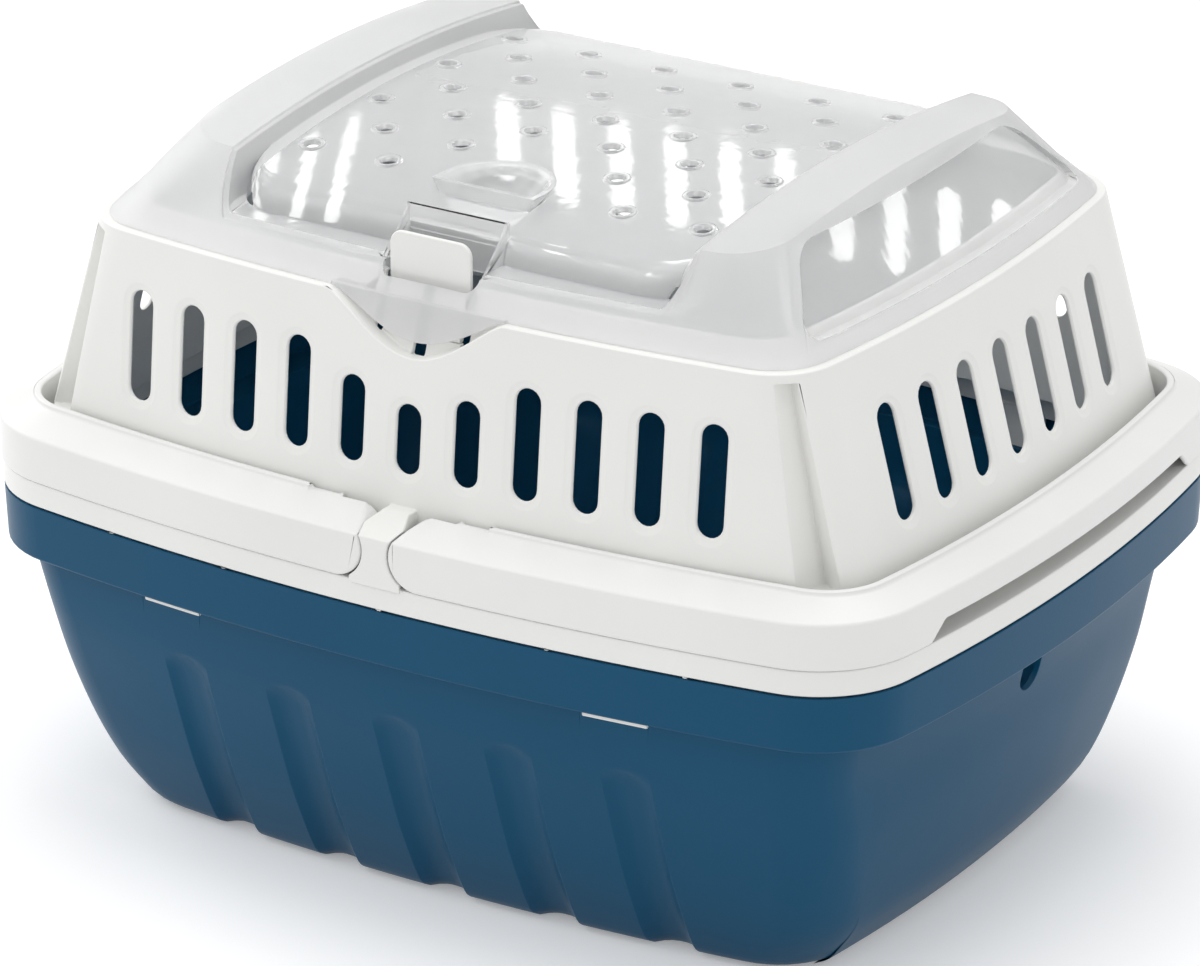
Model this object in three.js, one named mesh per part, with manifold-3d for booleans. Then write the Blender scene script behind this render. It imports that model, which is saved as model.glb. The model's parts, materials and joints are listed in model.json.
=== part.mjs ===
// Carrier for a small animal: an open tub, a slotted upper housing that clips on to it,
// a see-through lid with vents, a springy latch tongue and two swing-up handle halves.
// Millimetres. +X runs along the length, -Y is the front, +Z is up, z = 0 is the tub's floor.
import * as THREE from 'three';
import { mergeVertices } from 'three/addons/utils/BufferGeometryUtils.js';
import Module from 'manifold-3d';

const wasm = await Module();
wasm.setup();

// Rim outline in plan: four bowed sides that meet in round corners
const rimLength = 400;
const rimDepth = 310;
const longSideRadius = 1017;
const shortSideRadius = 731;
const rimCorner = 41;

// Walls and running gaps
const wall = 2.4;
const lidWall = 2;
const seatGap = 0.3;
const runningGap = 0.6;
const overrun = 5;

// Tub
const tubHeight = 131;
const skirtHeight = 22;
const skirtDraft = 1;
const tubCorner = 28;
const fluteCount = 5;
const flutePitch = 47.5;
const fluteWidth = 19.5;
const fluteDepth = 1.5;
const fluteHeight = 86;
const stringHoleWidth = 14;
const stringHoleHeight = 23;

// Upper housing, heights above the seam with the tub
const flangeHeight = 10;
const shoulderWidth = 13.5;
const shoulderDepth = 16.6;
const housingHeight = 107.4;
const endLean = 0.268;
const frontLean = 0.094;
const housingCorner = 26;
const topRounding = 1.5;
const lipDrop = 6;
const upstandHeight = 6.3;
const upstandLean = 0.375;
const upstandCorner = 20;
const endLedge = 14;
const frontLedge = 10.4;

// Ventilation slots in the housing
const slotWidth = 10;
const slotFoot = 45;
const slotHeight = 41.5;
const frontSlotCount = 11;
const frontSlotPitch = 24.34;
const endSlotCount = 7;
const endSlotPitch = 24.97;
const middleSlotHeight = 26;
const nextSlotHeight = 32;

// Corner channels of the housing: insets of their V from the walls' foot, and their lean
const channelFoot = 30;
const channelTop = 104;
const channelFrontInset = 37.9;
const channelApexInset = 33.6;
const channelEndInset = 20.2;
const channelApexDepth = 35.3;
const channelEndDepth = 26.3;
const channelLean = 0.21;

// Snap hooks under the flange
const hookPlace = 95;
const hookWidth = 26;
const hookThickness = 1.8;
const hookTip = 2.4;
const hookGap = 0.5;

// Lid, heights above its edge
const lidSetback = 3;
const lidCorner = 24;
const lidEndLean = 0.875;
const lidBorderHeight = 12.4;
const lidBorderRun = 12;
const lidFrontLean = 0.69;
const lidTop = 37.4;
const lidArchRadius = 714;
const panelHalfLength = 97;
const panelTop = 30.4;
const panelArchRadius = 555;
const panelCreaseInset = 32.7;
const panelFootInset = 23.2;
const grooveInset = 12.2;
const grooveHeight = 12.6;
const panelCorner = 16;
const windowDepth = 3;
const windowFootWidth = 200;
const windowTopWidth = 150;
const windowFoot = 5.5;
const windowTop = 31.5;
const windowCorner = 10;
const ventRadius = 3.35;
const ventPitchX = 33.3;
const ventPitchY = 22.8;

// Lobe of the lid, latch tongue and finger scoop
const lobeHalfWidth = 37;
const lobeDrop = 17;
const lobeFootGap = 2.5;
const lobeRoundness = 1.25;
const lobeOverlap = 1;
const lidOverlap = 0.5;
const latchWindowHalfWidth = 20;
const latchWindowInset = 5.7;
const latchWindowDepth = 20.5;
const latchWindowCorner = 4;
const tongueThickness = 2;
const tongueSlit = 5.2;
const tongueLegsWidth = 33;
const tongueSideSlit = 3.3;
const tongueFoot = 95;
const tongueHeadWidth = 31;
const tongueHeadFoot = 113;
const tongueHeadTop = 130;
const tongueHeadCorner = 5;
const slitFoot = 87.5;
const scoopHalfWidth = 20;
const scoopInset = 31.2;
const scoopLength = 27.5;
const scoopRim = 30;
const scoopDepth = 12;
const scoopFloorHalfWidth = 9;
const scoopFloorSetback = 2;
const scoopFloorLength = 11;

// Handle halves, heights above the seam
const handleFoot = 10.3;
const handleTop = 34.6;
const handleProud = 1;
const handleShoulder = 28;
const handleRidgeFoot = 33.2;
const handleRidgeWidth = 3;
const handleFrontDepth = 17.7;
const handleEndDepth = 14.2;
const handleFrontFootDepth = 15.8;
const handleEndFootDepth = 12.7;
const pivotPlace = 17.5;
const pivotHeight = 22;
const handleEndRadius = 11.7;
const handleRelief = 1.4;
const solidEndLength = 30;
const ridgeStart = 38;
const gripLength = 176;
const gripRise = 7;
const gripSlant = 8;
const pivotPinRadius = 4;
const pivotPinLength = 9;
const postTop = 34;

// Colours
const blue = 0x1d4c78;
const white = 0xf3f2ee;
const clear = 0xdfe3e4;
const plasticRoughness = 0.4;
const lidRoughness = 0.15;
const lidOpacity = 0.4;

// Stations of a bowed outline, counter-clockwise from the middle of the front
const longSteps = 4;
const cornerSteps = 4;
const endSteps = 3;

function cornerCentre(halfLength, halfDepth, corner) {
  const longCentre = longSideRadius - halfDepth;
  const endCentre = shortSideRadius - halfLength;
  const longReach = longSideRadius - corner;
  const endReach = shortSideRadius - corner;
  const apart = Math.hypot(longCentre, endCentre);
  const along = (longReach ** 2 - endReach ** 2 + apart ** 2) / (2 * apart);
  const across = Math.sqrt(longReach ** 2 - along ** 2);
  const ux = -endCentre / apart;
  const uy = -longCentre / apart;
  return { x: along * ux - across * uy, y: longCentre + along * uy + across * ux };
}

function quadrant(halfLength, halfDepth, corner) {
  const middle = cornerCentre(halfLength, halfDepth, corner);
  const longCentre = longSideRadius - halfDepth;
  const endCentre = halfLength - shortSideRadius;
  const longAngle = Math.atan2(middle.y - longCentre, middle.x);
  const endAngle = Math.atan2(middle.y, middle.x - endCentre);
  const stations = [];
  for (let i = 0; i < longSteps; i++) {
    const angle = THREE.MathUtils.lerp(-Math.PI / 2, longAngle, i / longSteps);
    stations.push({ x: 0, y: longCentre, radius: longSideRadius, angle });
  }
  for (let i = 0; i < cornerSteps; i++) {
    const angle = THREE.MathUtils.lerp(longAngle, endAngle, i / cornerSteps);
    stations.push({ x: middle.x, y: middle.y, radius: corner, angle });
  }
  for (let i = 0; i <= endSteps; i++) {
    const angle = THREE.MathUtils.lerp(endAngle, 0, i / endSteps);
    stations.push({ x: endCentre, y: 0, radius: shortSideRadius, angle });
  }
  return stations;
}

// Mirrors stations across the front-back plane, across the left-right plane, or both
function mirrored(stations, flipX, flipY) {
  return stations.map(({ x, y, radius, angle }) => {
    const cos = Math.cos(angle) * (flipX ? -1 : 1);
    const sin = Math.sin(angle) * (flipY ? -1 : 1);
    return { x: flipX ? -x : x, y: flipY ? -y : y, radius, angle: Math.atan2(sin, cos) };
  });
}

// The right half of an outline, from the middle of the front to the middle of the back
function rightHalf(halfLength, halfDepth, corner) {
  const front = quadrant(halfLength, halfDepth, corner);
  const back = mirrored(front, false, true).reverse();
  return front.concat(back.slice(1));
}

function outline(halfLength, halfDepth, corner) {
  const right = rightHalf(halfLength, halfDepth, corner);
  const left = mirrored(right, true, false).reverse();
  return right.concat(left.slice(1, -1));
}

// Points of an outline at a height, moved inward by an inset
function ring(stations, z, inset = 0) {
  return stations.map(({ x, y, radius, angle }) => {
    const reach = radius - inset;
    return new THREE.Vector3(x + reach * Math.cos(angle), y + reach * Math.sin(angle), z);
  });
}

// Triangles that close a flat ring of points, wound the same way round as the ring
function capFaces(points) {
  const normal = new THREE.Vector3();
  points.forEach((point, i) => normal.add(point.clone().cross(points[(i + 1) % points.length])));
  const size = normal.toArray().map(Math.abs);
  const axis = size.indexOf(Math.max(...size));
  const [first, second] = [(axis + 1) % 3, (axis + 2) % 3];
  const flat = (point) => new THREE.Vector2(point.getComponent(first), point.getComponent(second));
  const contour = points.map(flat);
  const facing = Math.sign(normal.getComponent(axis));
  return THREE.ShapeUtils.triangulateShape(contour, []).map(([a, b, c]) => {
    const area = THREE.ShapeUtils.area([contour[a], contour[b], contour[c]]);
    return area * facing > 0 ? [a, b, c] : [a, c, b];
  });
}

// Skins a list of rings with the same number of points. A tube of rings closes on itself,
// any other list gets a flat cap at each end
function loft(rings, closesOnItself = false) {
  const count = rings[0].length;
  const positions = rings.flat().flatMap((point) => [point.x, point.y, point.z]);
  const faces = [];
  const bands = closesOnItself ? rings.length : rings.length - 1;
  for (let band = 0; band < bands; band++) {
    const lower = band * count;
    const upper = ((band + 1) % rings.length) * count;
    for (let i = 0; i < count; i++) {
      const next = (i + 1) % count;
      faces.push(lower + i, lower + next, upper + next);
      faces.push(lower + i, upper + next, upper + i);
    }
  }
  if (!closesOnItself) {
    const last = (rings.length - 1) * count;
    capFaces(rings[0]).forEach(([a, b, c]) => faces.push(a, c, b));
    capFaces(rings[rings.length - 1]).forEach(([a, b, c]) => faces.push(last + a, last + b, last + c));
  }
  const geometry = new THREE.BufferGeometry();
  geometry.setAttribute('position', new THREE.Float32BufferAttribute(positions, 3));
  geometry.setIndex(faces);
  return geometry;
}

function solid(geometry) {
  const bare = geometry.clone();
  bare.deleteAttribute('normal');
  bare.deleteAttribute('uv');
  const merged = mergeVertices(bare);
  const vertProperties = new Float32Array(merged.attributes.position.array);
  const triVerts = new Uint32Array(merged.index.array);
  return new wasm.Manifold(new wasm.Mesh({ numProp: 3, vertProperties, triVerts }));
}

function surface(body) {
  const mesh = body.getMesh();
  const geometry = new THREE.BufferGeometry();
  geometry.setAttribute('position', new THREE.Float32BufferAttribute(mesh.vertProperties, 3));
  geometry.setIndex(new THREE.Uint32BufferAttribute(mesh.triVerts, 1));
  return geometry;
}

function joined(bodies) {
  return bodies.reduce((sum, body) => sum.add(body));
}

function cutBy(body, cutters) {
  return cutters.reduce((rest, cutter) => rest.subtract(cutter), body);
}

function box(lowX, highX, lowY, highY, lowZ, highZ) {
  const geometry = new THREE.BoxGeometry(highX - lowX, highY - lowY, highZ - lowZ);
  geometry.translate((lowX + highX) / 2, (lowY + highY) / 2, (lowZ + highZ) / 2);
  return solid(geometry);
}

// A shape drawn in X and Z, seen from the front, that runs from one Y to another
function alongY(shape, lowY, highY, curveSegments = 4) {
  const depth = highY - lowY;
  const geometry = new THREE.ExtrudeGeometry(shape, { depth, bevelEnabled: false, curveSegments });
  geometry.rotateX(Math.PI / 2);
  geometry.translate(0, highY, 0);
  return solid(geometry);
}

// A shape drawn in Y and Z, seen from the right, that runs from one X to another
function alongX(shape, lowX, highX, curveSegments = 4) {
  const depth = highX - lowX;
  const geometry = new THREE.ExtrudeGeometry(shape, { depth, bevelEnabled: false, curveSegments });
  geometry.rotateX(Math.PI / 2);
  geometry.rotateZ(Math.PI / 2);
  geometry.translate(lowX, 0, 0);
  return solid(geometry);
}

// A shape drawn in X and Y that runs from one height to another
function alongZ(shape, lowZ, highZ, curveSegments = 4) {
  const depth = highZ - lowZ;
  const geometry = new THREE.ExtrudeGeometry(shape, { depth, bevelEnabled: false, curveSegments });
  geometry.translate(0, 0, lowZ);
  return solid(geometry);
}

function polygon(points) {
  return new THREE.Shape(points.map(([x, y]) => new THREE.Vector2(x, y)));
}

function slotShape(middle, foot, top, width) {
  const shape = new THREE.Shape();
  const radius = width / 2;
  shape.absarc(middle, foot + radius, radius, Math.PI, 2 * Math.PI, false);
  shape.absarc(middle, top - radius, radius, 0, Math.PI, false);
  return shape;
}

// Tub wall: height, half length and half depth as shares of the tub's height and the rim
const tubWallShares = [
  [0, 0.74, 0.684],
  [0.023, 0.77, 0.716],
  [0.069, 0.795, 0.742],
  [0.145, 0.8275, 0.774],
  [0.275, 0.8575, 0.823],
  [0.466, 0.8875, 0.881],
  [0.656, 0.905, 0.932],
];
const stepLengthShare = 0.93;
const stepDepthShare = 0.959;
const halfLength = rimLength / 2;
const halfDepth = rimDepth / 2;
const stepHeight = tubHeight - skirtHeight;
const tubLevels = tubWallShares.map(([up, along, across]) => (
  { z: up * tubHeight, a: along * halfLength, b: across * halfDepth }));
tubLevels.push({ z: stepHeight, a: stepLengthShare * halfLength, b: stepDepthShare * halfDepth });
const rim = outline(halfLength, halfDepth, rimCorner);

function tubSkin(inset, floor) {
  return tubLevels.map(({ z, a, b }) => ring(outline(a, b, tubCorner), Math.max(z, floor), inset));
}

// Half depth of the tub's wall at a height
function tubHalfDepth(z) {
  const above = Math.max(1, tubLevels.findIndex((level) => level.z >= z));
  const low = tubLevels[above - 1];
  const high = tubLevels[above];
  return THREE.MathUtils.mapLinear(z, low.z, high.z, low.b, high.b);
}

// How far a bowed side falls back from its middle
function bow(radius, along) {
  return radius - Math.sqrt(radius ** 2 - along ** 2);
}

// One shallow flute that follows the front wall, with a round top
function flute(middle) {
  const half = fluteWidth / 2;
  const roundFoot = fluteHeight - half;
  const heights = tubLevels.map((level) => level.z).filter((z) => z > 0 && z < roundFoot);
  heights.unshift(-overrun);
  const levels = heights.map((z) => ({ z, half }));
  for (const turn of [0, Math.PI / 4, Math.PI * 4 / 9]) {
    levels.push({ z: roundFoot + half * Math.sin(turn), half: half * Math.cos(turn) });
  }
  const steps = 4;
  const rings = levels.map(({ z, half: reach }) => {
    const face = tubHalfDepth(Math.max(z, 0));
    const points = [];
    for (let i = 0; i <= steps; i++) {
      const share = 1 - 2 * i / steps;
      const x = middle + share * reach;
      const depth = fluteDepth * (1 - share ** 2);
      points.push(new THREE.Vector3(x, -(face - bow(longSideRadius, x) - depth), z));
    }
    points.push(new THREE.Vector3(middle - reach, -(face + overrun), z));
    points.push(new THREE.Vector3(middle + reach, -(face + overrun), z));
    return points;
  });
  return solid(loft(rings));
}

// The same body after half a turn about the upright axis
function turned(body) {
  const geometry = surface(body);
  geometry.rotateZ(Math.PI);
  return solid(geometry);
}

function makeTub() {
  const outer = tubSkin(0, 0);
  outer.push(ring(rim, stepHeight, skirtDraft + wall / 2));
  outer.push(ring(rim, stepHeight + wall / 2, skirtDraft));
  outer.push(ring(rim, tubHeight));
  const inner = [ring(rim, tubHeight, wall), ring(rim, stepHeight + wall, wall + skirtDraft)];
  inner.push(...tubSkin(wall, wall).reverse());
  const top = inner[2].map((point) => point.clone().setZ(stepHeight + wall));
  inner.splice(2, 1, top);
  let outside = solid(loft([...outer, ring(rim, tubHeight + overrun)]));
  const inside = [ring(rim, tubHeight + 2 * overrun, wall)].concat(inner).reverse();
  const hollow = solid(loft(inside));
  for (let i = 0; i < fluteCount; i++) {
    const groove = flute((i - (fluteCount - 1) / 2) * flutePitch);
    outside = cutBy(outside, [groove, turned(groove)]);
  }
  const above = box(-rimLength, rimLength, -rimLength, rimLength, tubHeight, tubHeight + 3 * overrun);
  const holeTop = stepHeight;
  const holeShape = new THREE.Shape();
  const holeRadius = stringHoleWidth / 2;
  holeShape.moveTo(holeRadius, holeTop);
  holeShape.lineTo(-holeRadius, holeTop);
  holeShape.absarc(0, holeTop - stringHoleHeight + holeRadius, holeRadius, Math.PI, 2 * Math.PI, false);
  const holes = alongX(holeShape, -rimLength, rimLength);
  const cutters = [above, holes];
  const skirtInside = wall + skirtDraft;
  const slotInside = skirtInside + hookThickness + 2 * hookGap;
  const slots = rimBand(skirtInside, slotInside, stepHeight - overrun, stepHeight + overrun);
  cutters.push(slots.intersect(hookStrips(hookWidth + 2 * hookGap)));
  return cutBy(outside.subtract(hollow), cutters);
}

// A band that follows the rim between two insets
function rimBand(outerInset, innerInset, lowZ, highZ) {
  const rings = [
    ring(rim, lowZ, outerInset),
    ring(rim, highZ, outerInset),
    ring(rim, highZ, innerInset),
    ring(rim, lowZ, innerInset),
  ];
  return solid(loft(rings, true));
}

// Four upright strips that cross the rim where the hooks are
function hookStrips(width) {
  const strips = [];
  for (const side of [-1, 1]) {
    const middle = side * hookPlace;
    strips.push(box(middle - width / 2, middle + width / 2, -rimDepth, rimDepth, -tubHeight, 2 * tubHeight));
  }
  return joined(strips);
}

const wallFootLength = halfLength - shoulderWidth + endLean * flangeHeight;
const wallFootDepth = halfDepth - shoulderDepth + frontLean * flangeHeight;

// Outline of the housing's outer wall at a height above the seam
function housingOutline(z) {
  return outline(wallFootLength - endLean * z, wallFootDepth - frontLean * z, housingCorner);
}

const topHalfLength = wallFootLength - endLean * housingHeight;
const topHalfDepth = wallFootDepth - frontLean * housingHeight;
const lidHalfLength = topHalfLength - lidSetback;
const lidHalfDepth = topHalfDepth - lidSetback;
const latchWindowFront = lidHalfDepth - latchWindowInset;
const latchWindowBack = latchWindowFront - latchWindowDepth;
const upstand = outline(topHalfLength - endLedge, topHalfDepth - frontLedge, upstandCorner);

function housingShell() {
  const lipOuter = wall + runningGap;
  const lipInner = lipOuter + wall;
  const shoulder = flangeHeight - wall;
  const ledge = housingHeight - wall;
  const rounding = housingHeight - topRounding;
  const topLean = upstandLean * upstandHeight;
  return solid(loft([
    ring(rim, -lipDrop, lipOuter),
    ring(rim, 0, lipOuter),
    ring(rim, 0),
    ring(rim, flangeHeight),
    ring(housingOutline(flangeHeight), flangeHeight),
    ring(housingOutline(rounding), rounding),
    ring(housingOutline(housingHeight), housingHeight, topRounding),
    ring(upstand, housingHeight),
    ring(upstand, housingHeight + upstandHeight, topLean),
    ring(upstand, housingHeight + upstandHeight, topLean + wall),
    ring(upstand, ledge, wall - upstandLean * wall),
    ring(housingOutline(ledge), ledge, wall),
    ring(housingOutline(shoulder), shoulder, wall),
    ring(rim, shoulder, wall),
    ring(rim, wall, wall),
    ring(rim, wall, lipInner),
    ring(rim, -lipDrop, lipInner),
  ], true));
}

// Everything inside the housing's outer wall, up to the ledge that the lid sits on
function housingEnvelope() {
  return solid(loft([
    ring(housingOutline(flangeHeight), flangeHeight - wall),
    ring(housingOutline(housingHeight - topRounding), housingHeight - topRounding),
    ring(housingOutline(housingHeight), housingHeight, topRounding),
  ]));
}

// The V-shaped channel at the front right corner; grow thickens it by a wall
function cornerChannel(grow) {
  const rings = [channelFoot - grow, channelTop + grow].map((z) => {
    const lean = channelLean * (z - channelFoot);
    const outY = -halfDepth;
    const foot = wallFootLength - lean;
    const front = new THREE.Vector2(foot - channelFrontInset, outY);
    const apex = new THREE.Vector2(foot - channelApexInset, channelApexDepth - wallFootDepth);
    const end = new THREE.Vector2(foot - channelEndInset, channelEndDepth - wallFootDepth);
    const face = end.clone().sub(apex).normalize();
    const inward = new THREE.Vector2(-face.y, face.x).multiplyScalar(grow);
    const far = end.clone().add(inward).addScaledVector(face, channelApexDepth);
    front.x -= grow;
    const turn = (apex.x - grow - apex.x - inward.x) / face.x;
    const inner = apex.clone().add(inward).addScaledVector(face, turn);
    const corner = new THREE.Vector2(far.x, outY);
    return [front, corner, far, inner].map(({ x, y }) => new THREE.Vector3(x, y, z));
  });
  return solid(loft(rings));
}

// Copies of a body in all four corners
function inFourCorners(body) {
  const back = flippedBack(body);
  return joined([body, back, turned(body), turned(back)]);
}

// Lower edge of the lid's lobe as a share of its drop, from its middle outward
function lobeShare(share) {
  return Math.cos(Math.PI / 2 * Math.min(1, Math.abs(share))) ** lobeRoundness;
}

// Front view of the lobe, up to a height; grow widens it
function lobeShape(edge, top, grow, drop) {
  const steps = 12;
  const points = [];
  for (let i = 0; i <= steps; i++) {
    const share = 2 * i / steps - 1;
    points.push([share * (lobeHalfWidth + grow), edge - grow - drop * lobeShare(share)]);
  }
  points.push([lobeHalfWidth + grow, top], [-lobeHalfWidth - grow, top]);
  return polygon(points);
}

// Front face of the upstand and the tongue at a height above the seam
function tongueFace(z) {
  return -(topHalfDepth - frontLedge) + upstandLean * (z - housingHeight);
}

// Everything behind the tongue's plane, moved back by a distance
function behindTongue(distance) {
  const low = channelFoot;
  const high = tongueHeadTop;
  return alongX(polygon([
    [tongueFace(low) + distance, low],
    [halfDepth, low],
    [halfDepth, high],
    [tongueFace(high) + distance, high],
  ]), -halfLength, halfLength);
}

function housingSlots() {
  const shapes = [];
  for (let i = 0; i < frontSlotCount; i++) {
    const step = i - (frontSlotCount - 1) / 2;
    const place = step * frontSlotPitch;
    const height = { 0: middleSlotHeight, 1: nextSlotHeight }[Math.abs(step)] ?? slotHeight;
    shapes.push(alongY(slotShape(place, slotFoot, slotFoot + height, slotWidth), -halfDepth, 0));
    shapes.push(alongY(slotShape(place, slotFoot, slotFoot + slotHeight, slotWidth), 0, halfDepth));
  }
  for (let i = 0; i < endSlotCount; i++) {
    const place = (i - (endSlotCount - 1) / 2) * endSlotPitch;
    const shape = slotShape(place, slotFoot, slotFoot + slotHeight, slotWidth);
    shapes.push(alongX(shape, -halfLength, halfLength));
  }
  return joined(shapes);
}

// The post between the handle ends, with sides hollowed round them and a sloped top
function post() {
  const front = -(halfDepth + handleProud);
  const back = -(wallFootDepth - frontLean * postTop);
  const block = box(-pivotPlace, pivotPlace, front, back, flangeHeight - wall / 2, postTop);
  const gap = handleEndRadius + runningGap;
  const sides = [-1, 1].map((side) => alongY(
    new THREE.Shape().absarc(side * pivotPlace, pivotHeight, gap, 0, 2 * Math.PI, false),
    front - overrun, back + overrun, 20));
  const trims = [-1, 1].map((side) => {
    const wide = side * (pivotPlace + pivotHeight - handleShoulder - runningGap);
    const slim = side * (pivotPlace + pivotHeight - handleRidgeFoot - runningGap);
    const far = side * (pivotPlace + overrun);
    const bend = front + handleFrontDepth - handleRidgeWidth;
    return alongZ(polygon([
      [wide, front - overrun], [wide, front], [slim, bend], [slim, back + overrun],
      [far, back + overrun], [far, front - overrun],
    ]), 0, 2 * postTop);
  });
  const slope = alongX(polygon([
    [front - overrun, handleShoulder],
    [front, handleShoulder],
    [front + handleFrontDepth - handleRidgeWidth, handleRidgeFoot],
    [front + handleFrontDepth - handleRidgeWidth, 2 * postTop],
    [front - overrun, 2 * postTop],
  ]), -halfLength, halfLength);
  return cutBy(block, [...sides, ...trims, slope]);
}

function pivotPin(side, radius, tip) {
  const geometry = new THREE.CylinderGeometry(radius, radius, tip, 16);
  const face = wallFootDepth - frontLean * pivotHeight;
  geometry.translate(side * pivotPlace, -face - tip / 2 + wall / 2, pivotHeight);
  return solid(geometry);
}

function makeHousing() {
  const envelope = housingEnvelope();
  const channel = inFourCorners(cornerChannel(0));
  const channelLiner = inFourCorners(cornerChannel(wall)).intersect(envelope);
  const lobeTop = tongueHeadTop;
  const lobePocket = alongY(lobeShape(housingHeight, lobeTop, 0, lobeDrop), -halfDepth, 0)
    .subtract(behindTongue(0));
  const lobeLiner = alongY(lobeShape(housingHeight, lobeTop, wall, lobeDrop), -halfDepth, 0)
    .subtract(behindTongue(wall)).intersect(envelope);
  const legs = tongueLegsWidth / 2 + tongueSideSlit;
  const slit = tongueSlit / 2;
  const tongueGap = box(-legs, legs, -topHalfDepth, 0, tongueFoot - seatGap, lobeTop);
  const centreSlit = box(-slit, slit, -topHalfDepth - overrun / 2, 0, slitFoot, lobeTop);
  const posts = post();
  const pins = joined([-1, 1].map((side) => pivotPin(side, pivotPinRadius, pivotPinLength)));
  const hooks = rimBand(
    wall + skirtDraft + hookGap, wall + skirtDraft + hookGap + hookThickness,
    -skirtHeight - hookTip, -lipDrop + wall).intersect(hookStrips(hookWidth));
  const body = joined([
    housingShell(), channelLiner, lobeLiner, posts, turned(posts), pins, turned(pins), hooks]);
  return cutBy(body, [channel, lobePocket, tongueGap, centreSlit, housingSlots()]);
}

// Lid, in heights above its edge
const lidSkin = lidWall * Math.hypot(1, lidEndLean);
const panelCrease = lidHalfDepth - panelCreaseInset;
const panelFoot = lidHalfDepth - panelFootInset;
const grooveEnd = lidHalfDepth - grooveInset;
const scoopFront = lidHalfDepth - scoopInset;
const scoopBack = scoopFront - scoopLength;
const scoopFloorFront = scoopFront - scoopFloorSetback;
const scoopFloorBack = scoopFloorFront - scoopFloorLength;

// Rings of the lid's sloping sides: the low border leans more than the bands above it
function lidRings(inset, lowest = 0) {
  const steep = lidBorderHeight + lidTop;
  const levels = [
    { z: lowest, b: lidHalfDepth },
    { z: lidBorderHeight, b: lidHalfDepth - lidBorderRun },
    { z: steep, b: lidHalfDepth - lidBorderRun - lidFrontLean * lidTop },
  ];
  return levels.map(({ z, b }) => {
    const a = lidHalfLength - lidEndLean * Math.max(z, 0);
    return ring(outline(a, b, lidCorner), z, inset);
  });
}

// Points of an arch over the lid, from front to back
function arch(radius, top, reach, steps) {
  const points = [];
  for (let i = 0; i <= steps; i++) {
    const y = reach * (2 * i / steps - 1);
    points.push([y, top - bow(radius, y)]);
  }
  return points;
}

// The lid's outer form moved inward by an inset and down by a drop
function lidForm(inset, drop) {
  const sides = solid(loft(lidRings(inset)));
  const roof = arch(lidArchRadius, lidTop - drop, lidHalfDepth, 10);
  const under = alongX(polygon([[-lidHalfDepth, -overrun], [lidHalfDepth, -overrun], ...roof.reverse()]),
    -halfLength, halfLength);
  return sides.intersect(under);
}

// The hollow over the middle panel; grow lowers and widens it
function panelRecess(grow) {
  const turns = [0, Math.PI / 6, Math.PI / 3, Math.PI / 2];
  const ends = turns.map((turn) => ({
    x: panelHalfLength + grow - panelCorner * (1 - Math.cos(turn)),
    pull: panelCorner * (1 - Math.sin(turn)),
  }));
  const stations = ends.map(({ x, pull }) => ({ x: -x, pull })).concat(ends.reverse());
  const roof = arch(panelArchRadius, panelTop - grow, panelCrease - grow / 2, 6);
  const floor = grooveHeight - grow;
  const foot = panelFoot - grow / 2;
  const end = grooveEnd + grow;
  const rings = stations.map(({ x, pull }) => {
    const profile = [[-end, floor], [-foot, floor], ...roof, [foot, floor], [end, floor],
      [end, 2 * lidTop], [-end, 2 * lidTop]];
    return profile.map(([y, z]) => {
      const shift = Math.abs(y) > panelCrease / 2 ? Math.sign(y) * pull : 0;
      return new THREE.Vector3(x, y - shift, z);
    });
  });
  return solid(loft(rings));
}

// Side windows: a tapered frame seen from the end, with round corners
function windowShape(grow) {
  const foot = windowFootWidth / 2 + grow;
  const top = windowTopWidth / 2 + grow;
  const low = windowFoot - grow;
  const high = windowTop + grow;
  const slant = new THREE.Vector2(top - foot, high - low).normalize().multiplyScalar(windowCorner);
  const shape = new THREE.Shape();
  shape.moveTo(foot - windowCorner, low);
  shape.quadraticCurveTo(foot, low, foot + slant.x, low + slant.y);
  shape.lineTo(top - slant.x, high - slant.y);
  shape.quadraticCurveTo(top, high, top - windowCorner, high);
  shape.lineTo(windowCorner - top, high);
  shape.quadraticCurveTo(-top, high, slant.x - top, high - slant.y);
  shape.lineTo(-foot - slant.x, low + slant.y);
  shape.quadraticCurveTo(-foot, low, windowCorner - foot, low);
  return shape;
}

function ends(shape) {
  const inner = panelHalfLength + lidWall;
  return joined([alongX(shape, inner, halfLength), alongX(shape, -halfLength, -inner)]);
}

// A D-shaped outline: straight in front, round at the back
function scoopRing(halfWidth, front, back, z) {
  const steps = 8;
  const points = [];
  const straight = (back - front) / 4;
  for (let i = 0; i <= steps; i++) {
    const turn = Math.PI * i / steps;
    const reach = back - front - straight;
    points.push(new THREE.Vector3(halfWidth * Math.cos(turn), front + straight + reach * Math.sin(turn), z));
  }
  points.push(new THREE.Vector3(-halfWidth, front, z), new THREE.Vector3(halfWidth, front, z));
  return points;
}

function scoop(grow, top) {
  const floor = scoopRim - scoopDepth - grow;
  return solid(loft([
    scoopRing(scoopFloorHalfWidth + grow, -scoopFloorFront - grow, -scoopFloorBack + grow, floor),
    scoopRing(scoopHalfWidth + grow, -scoopFront - grow, -scoopBack + grow, top),
  ]));
}

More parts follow.
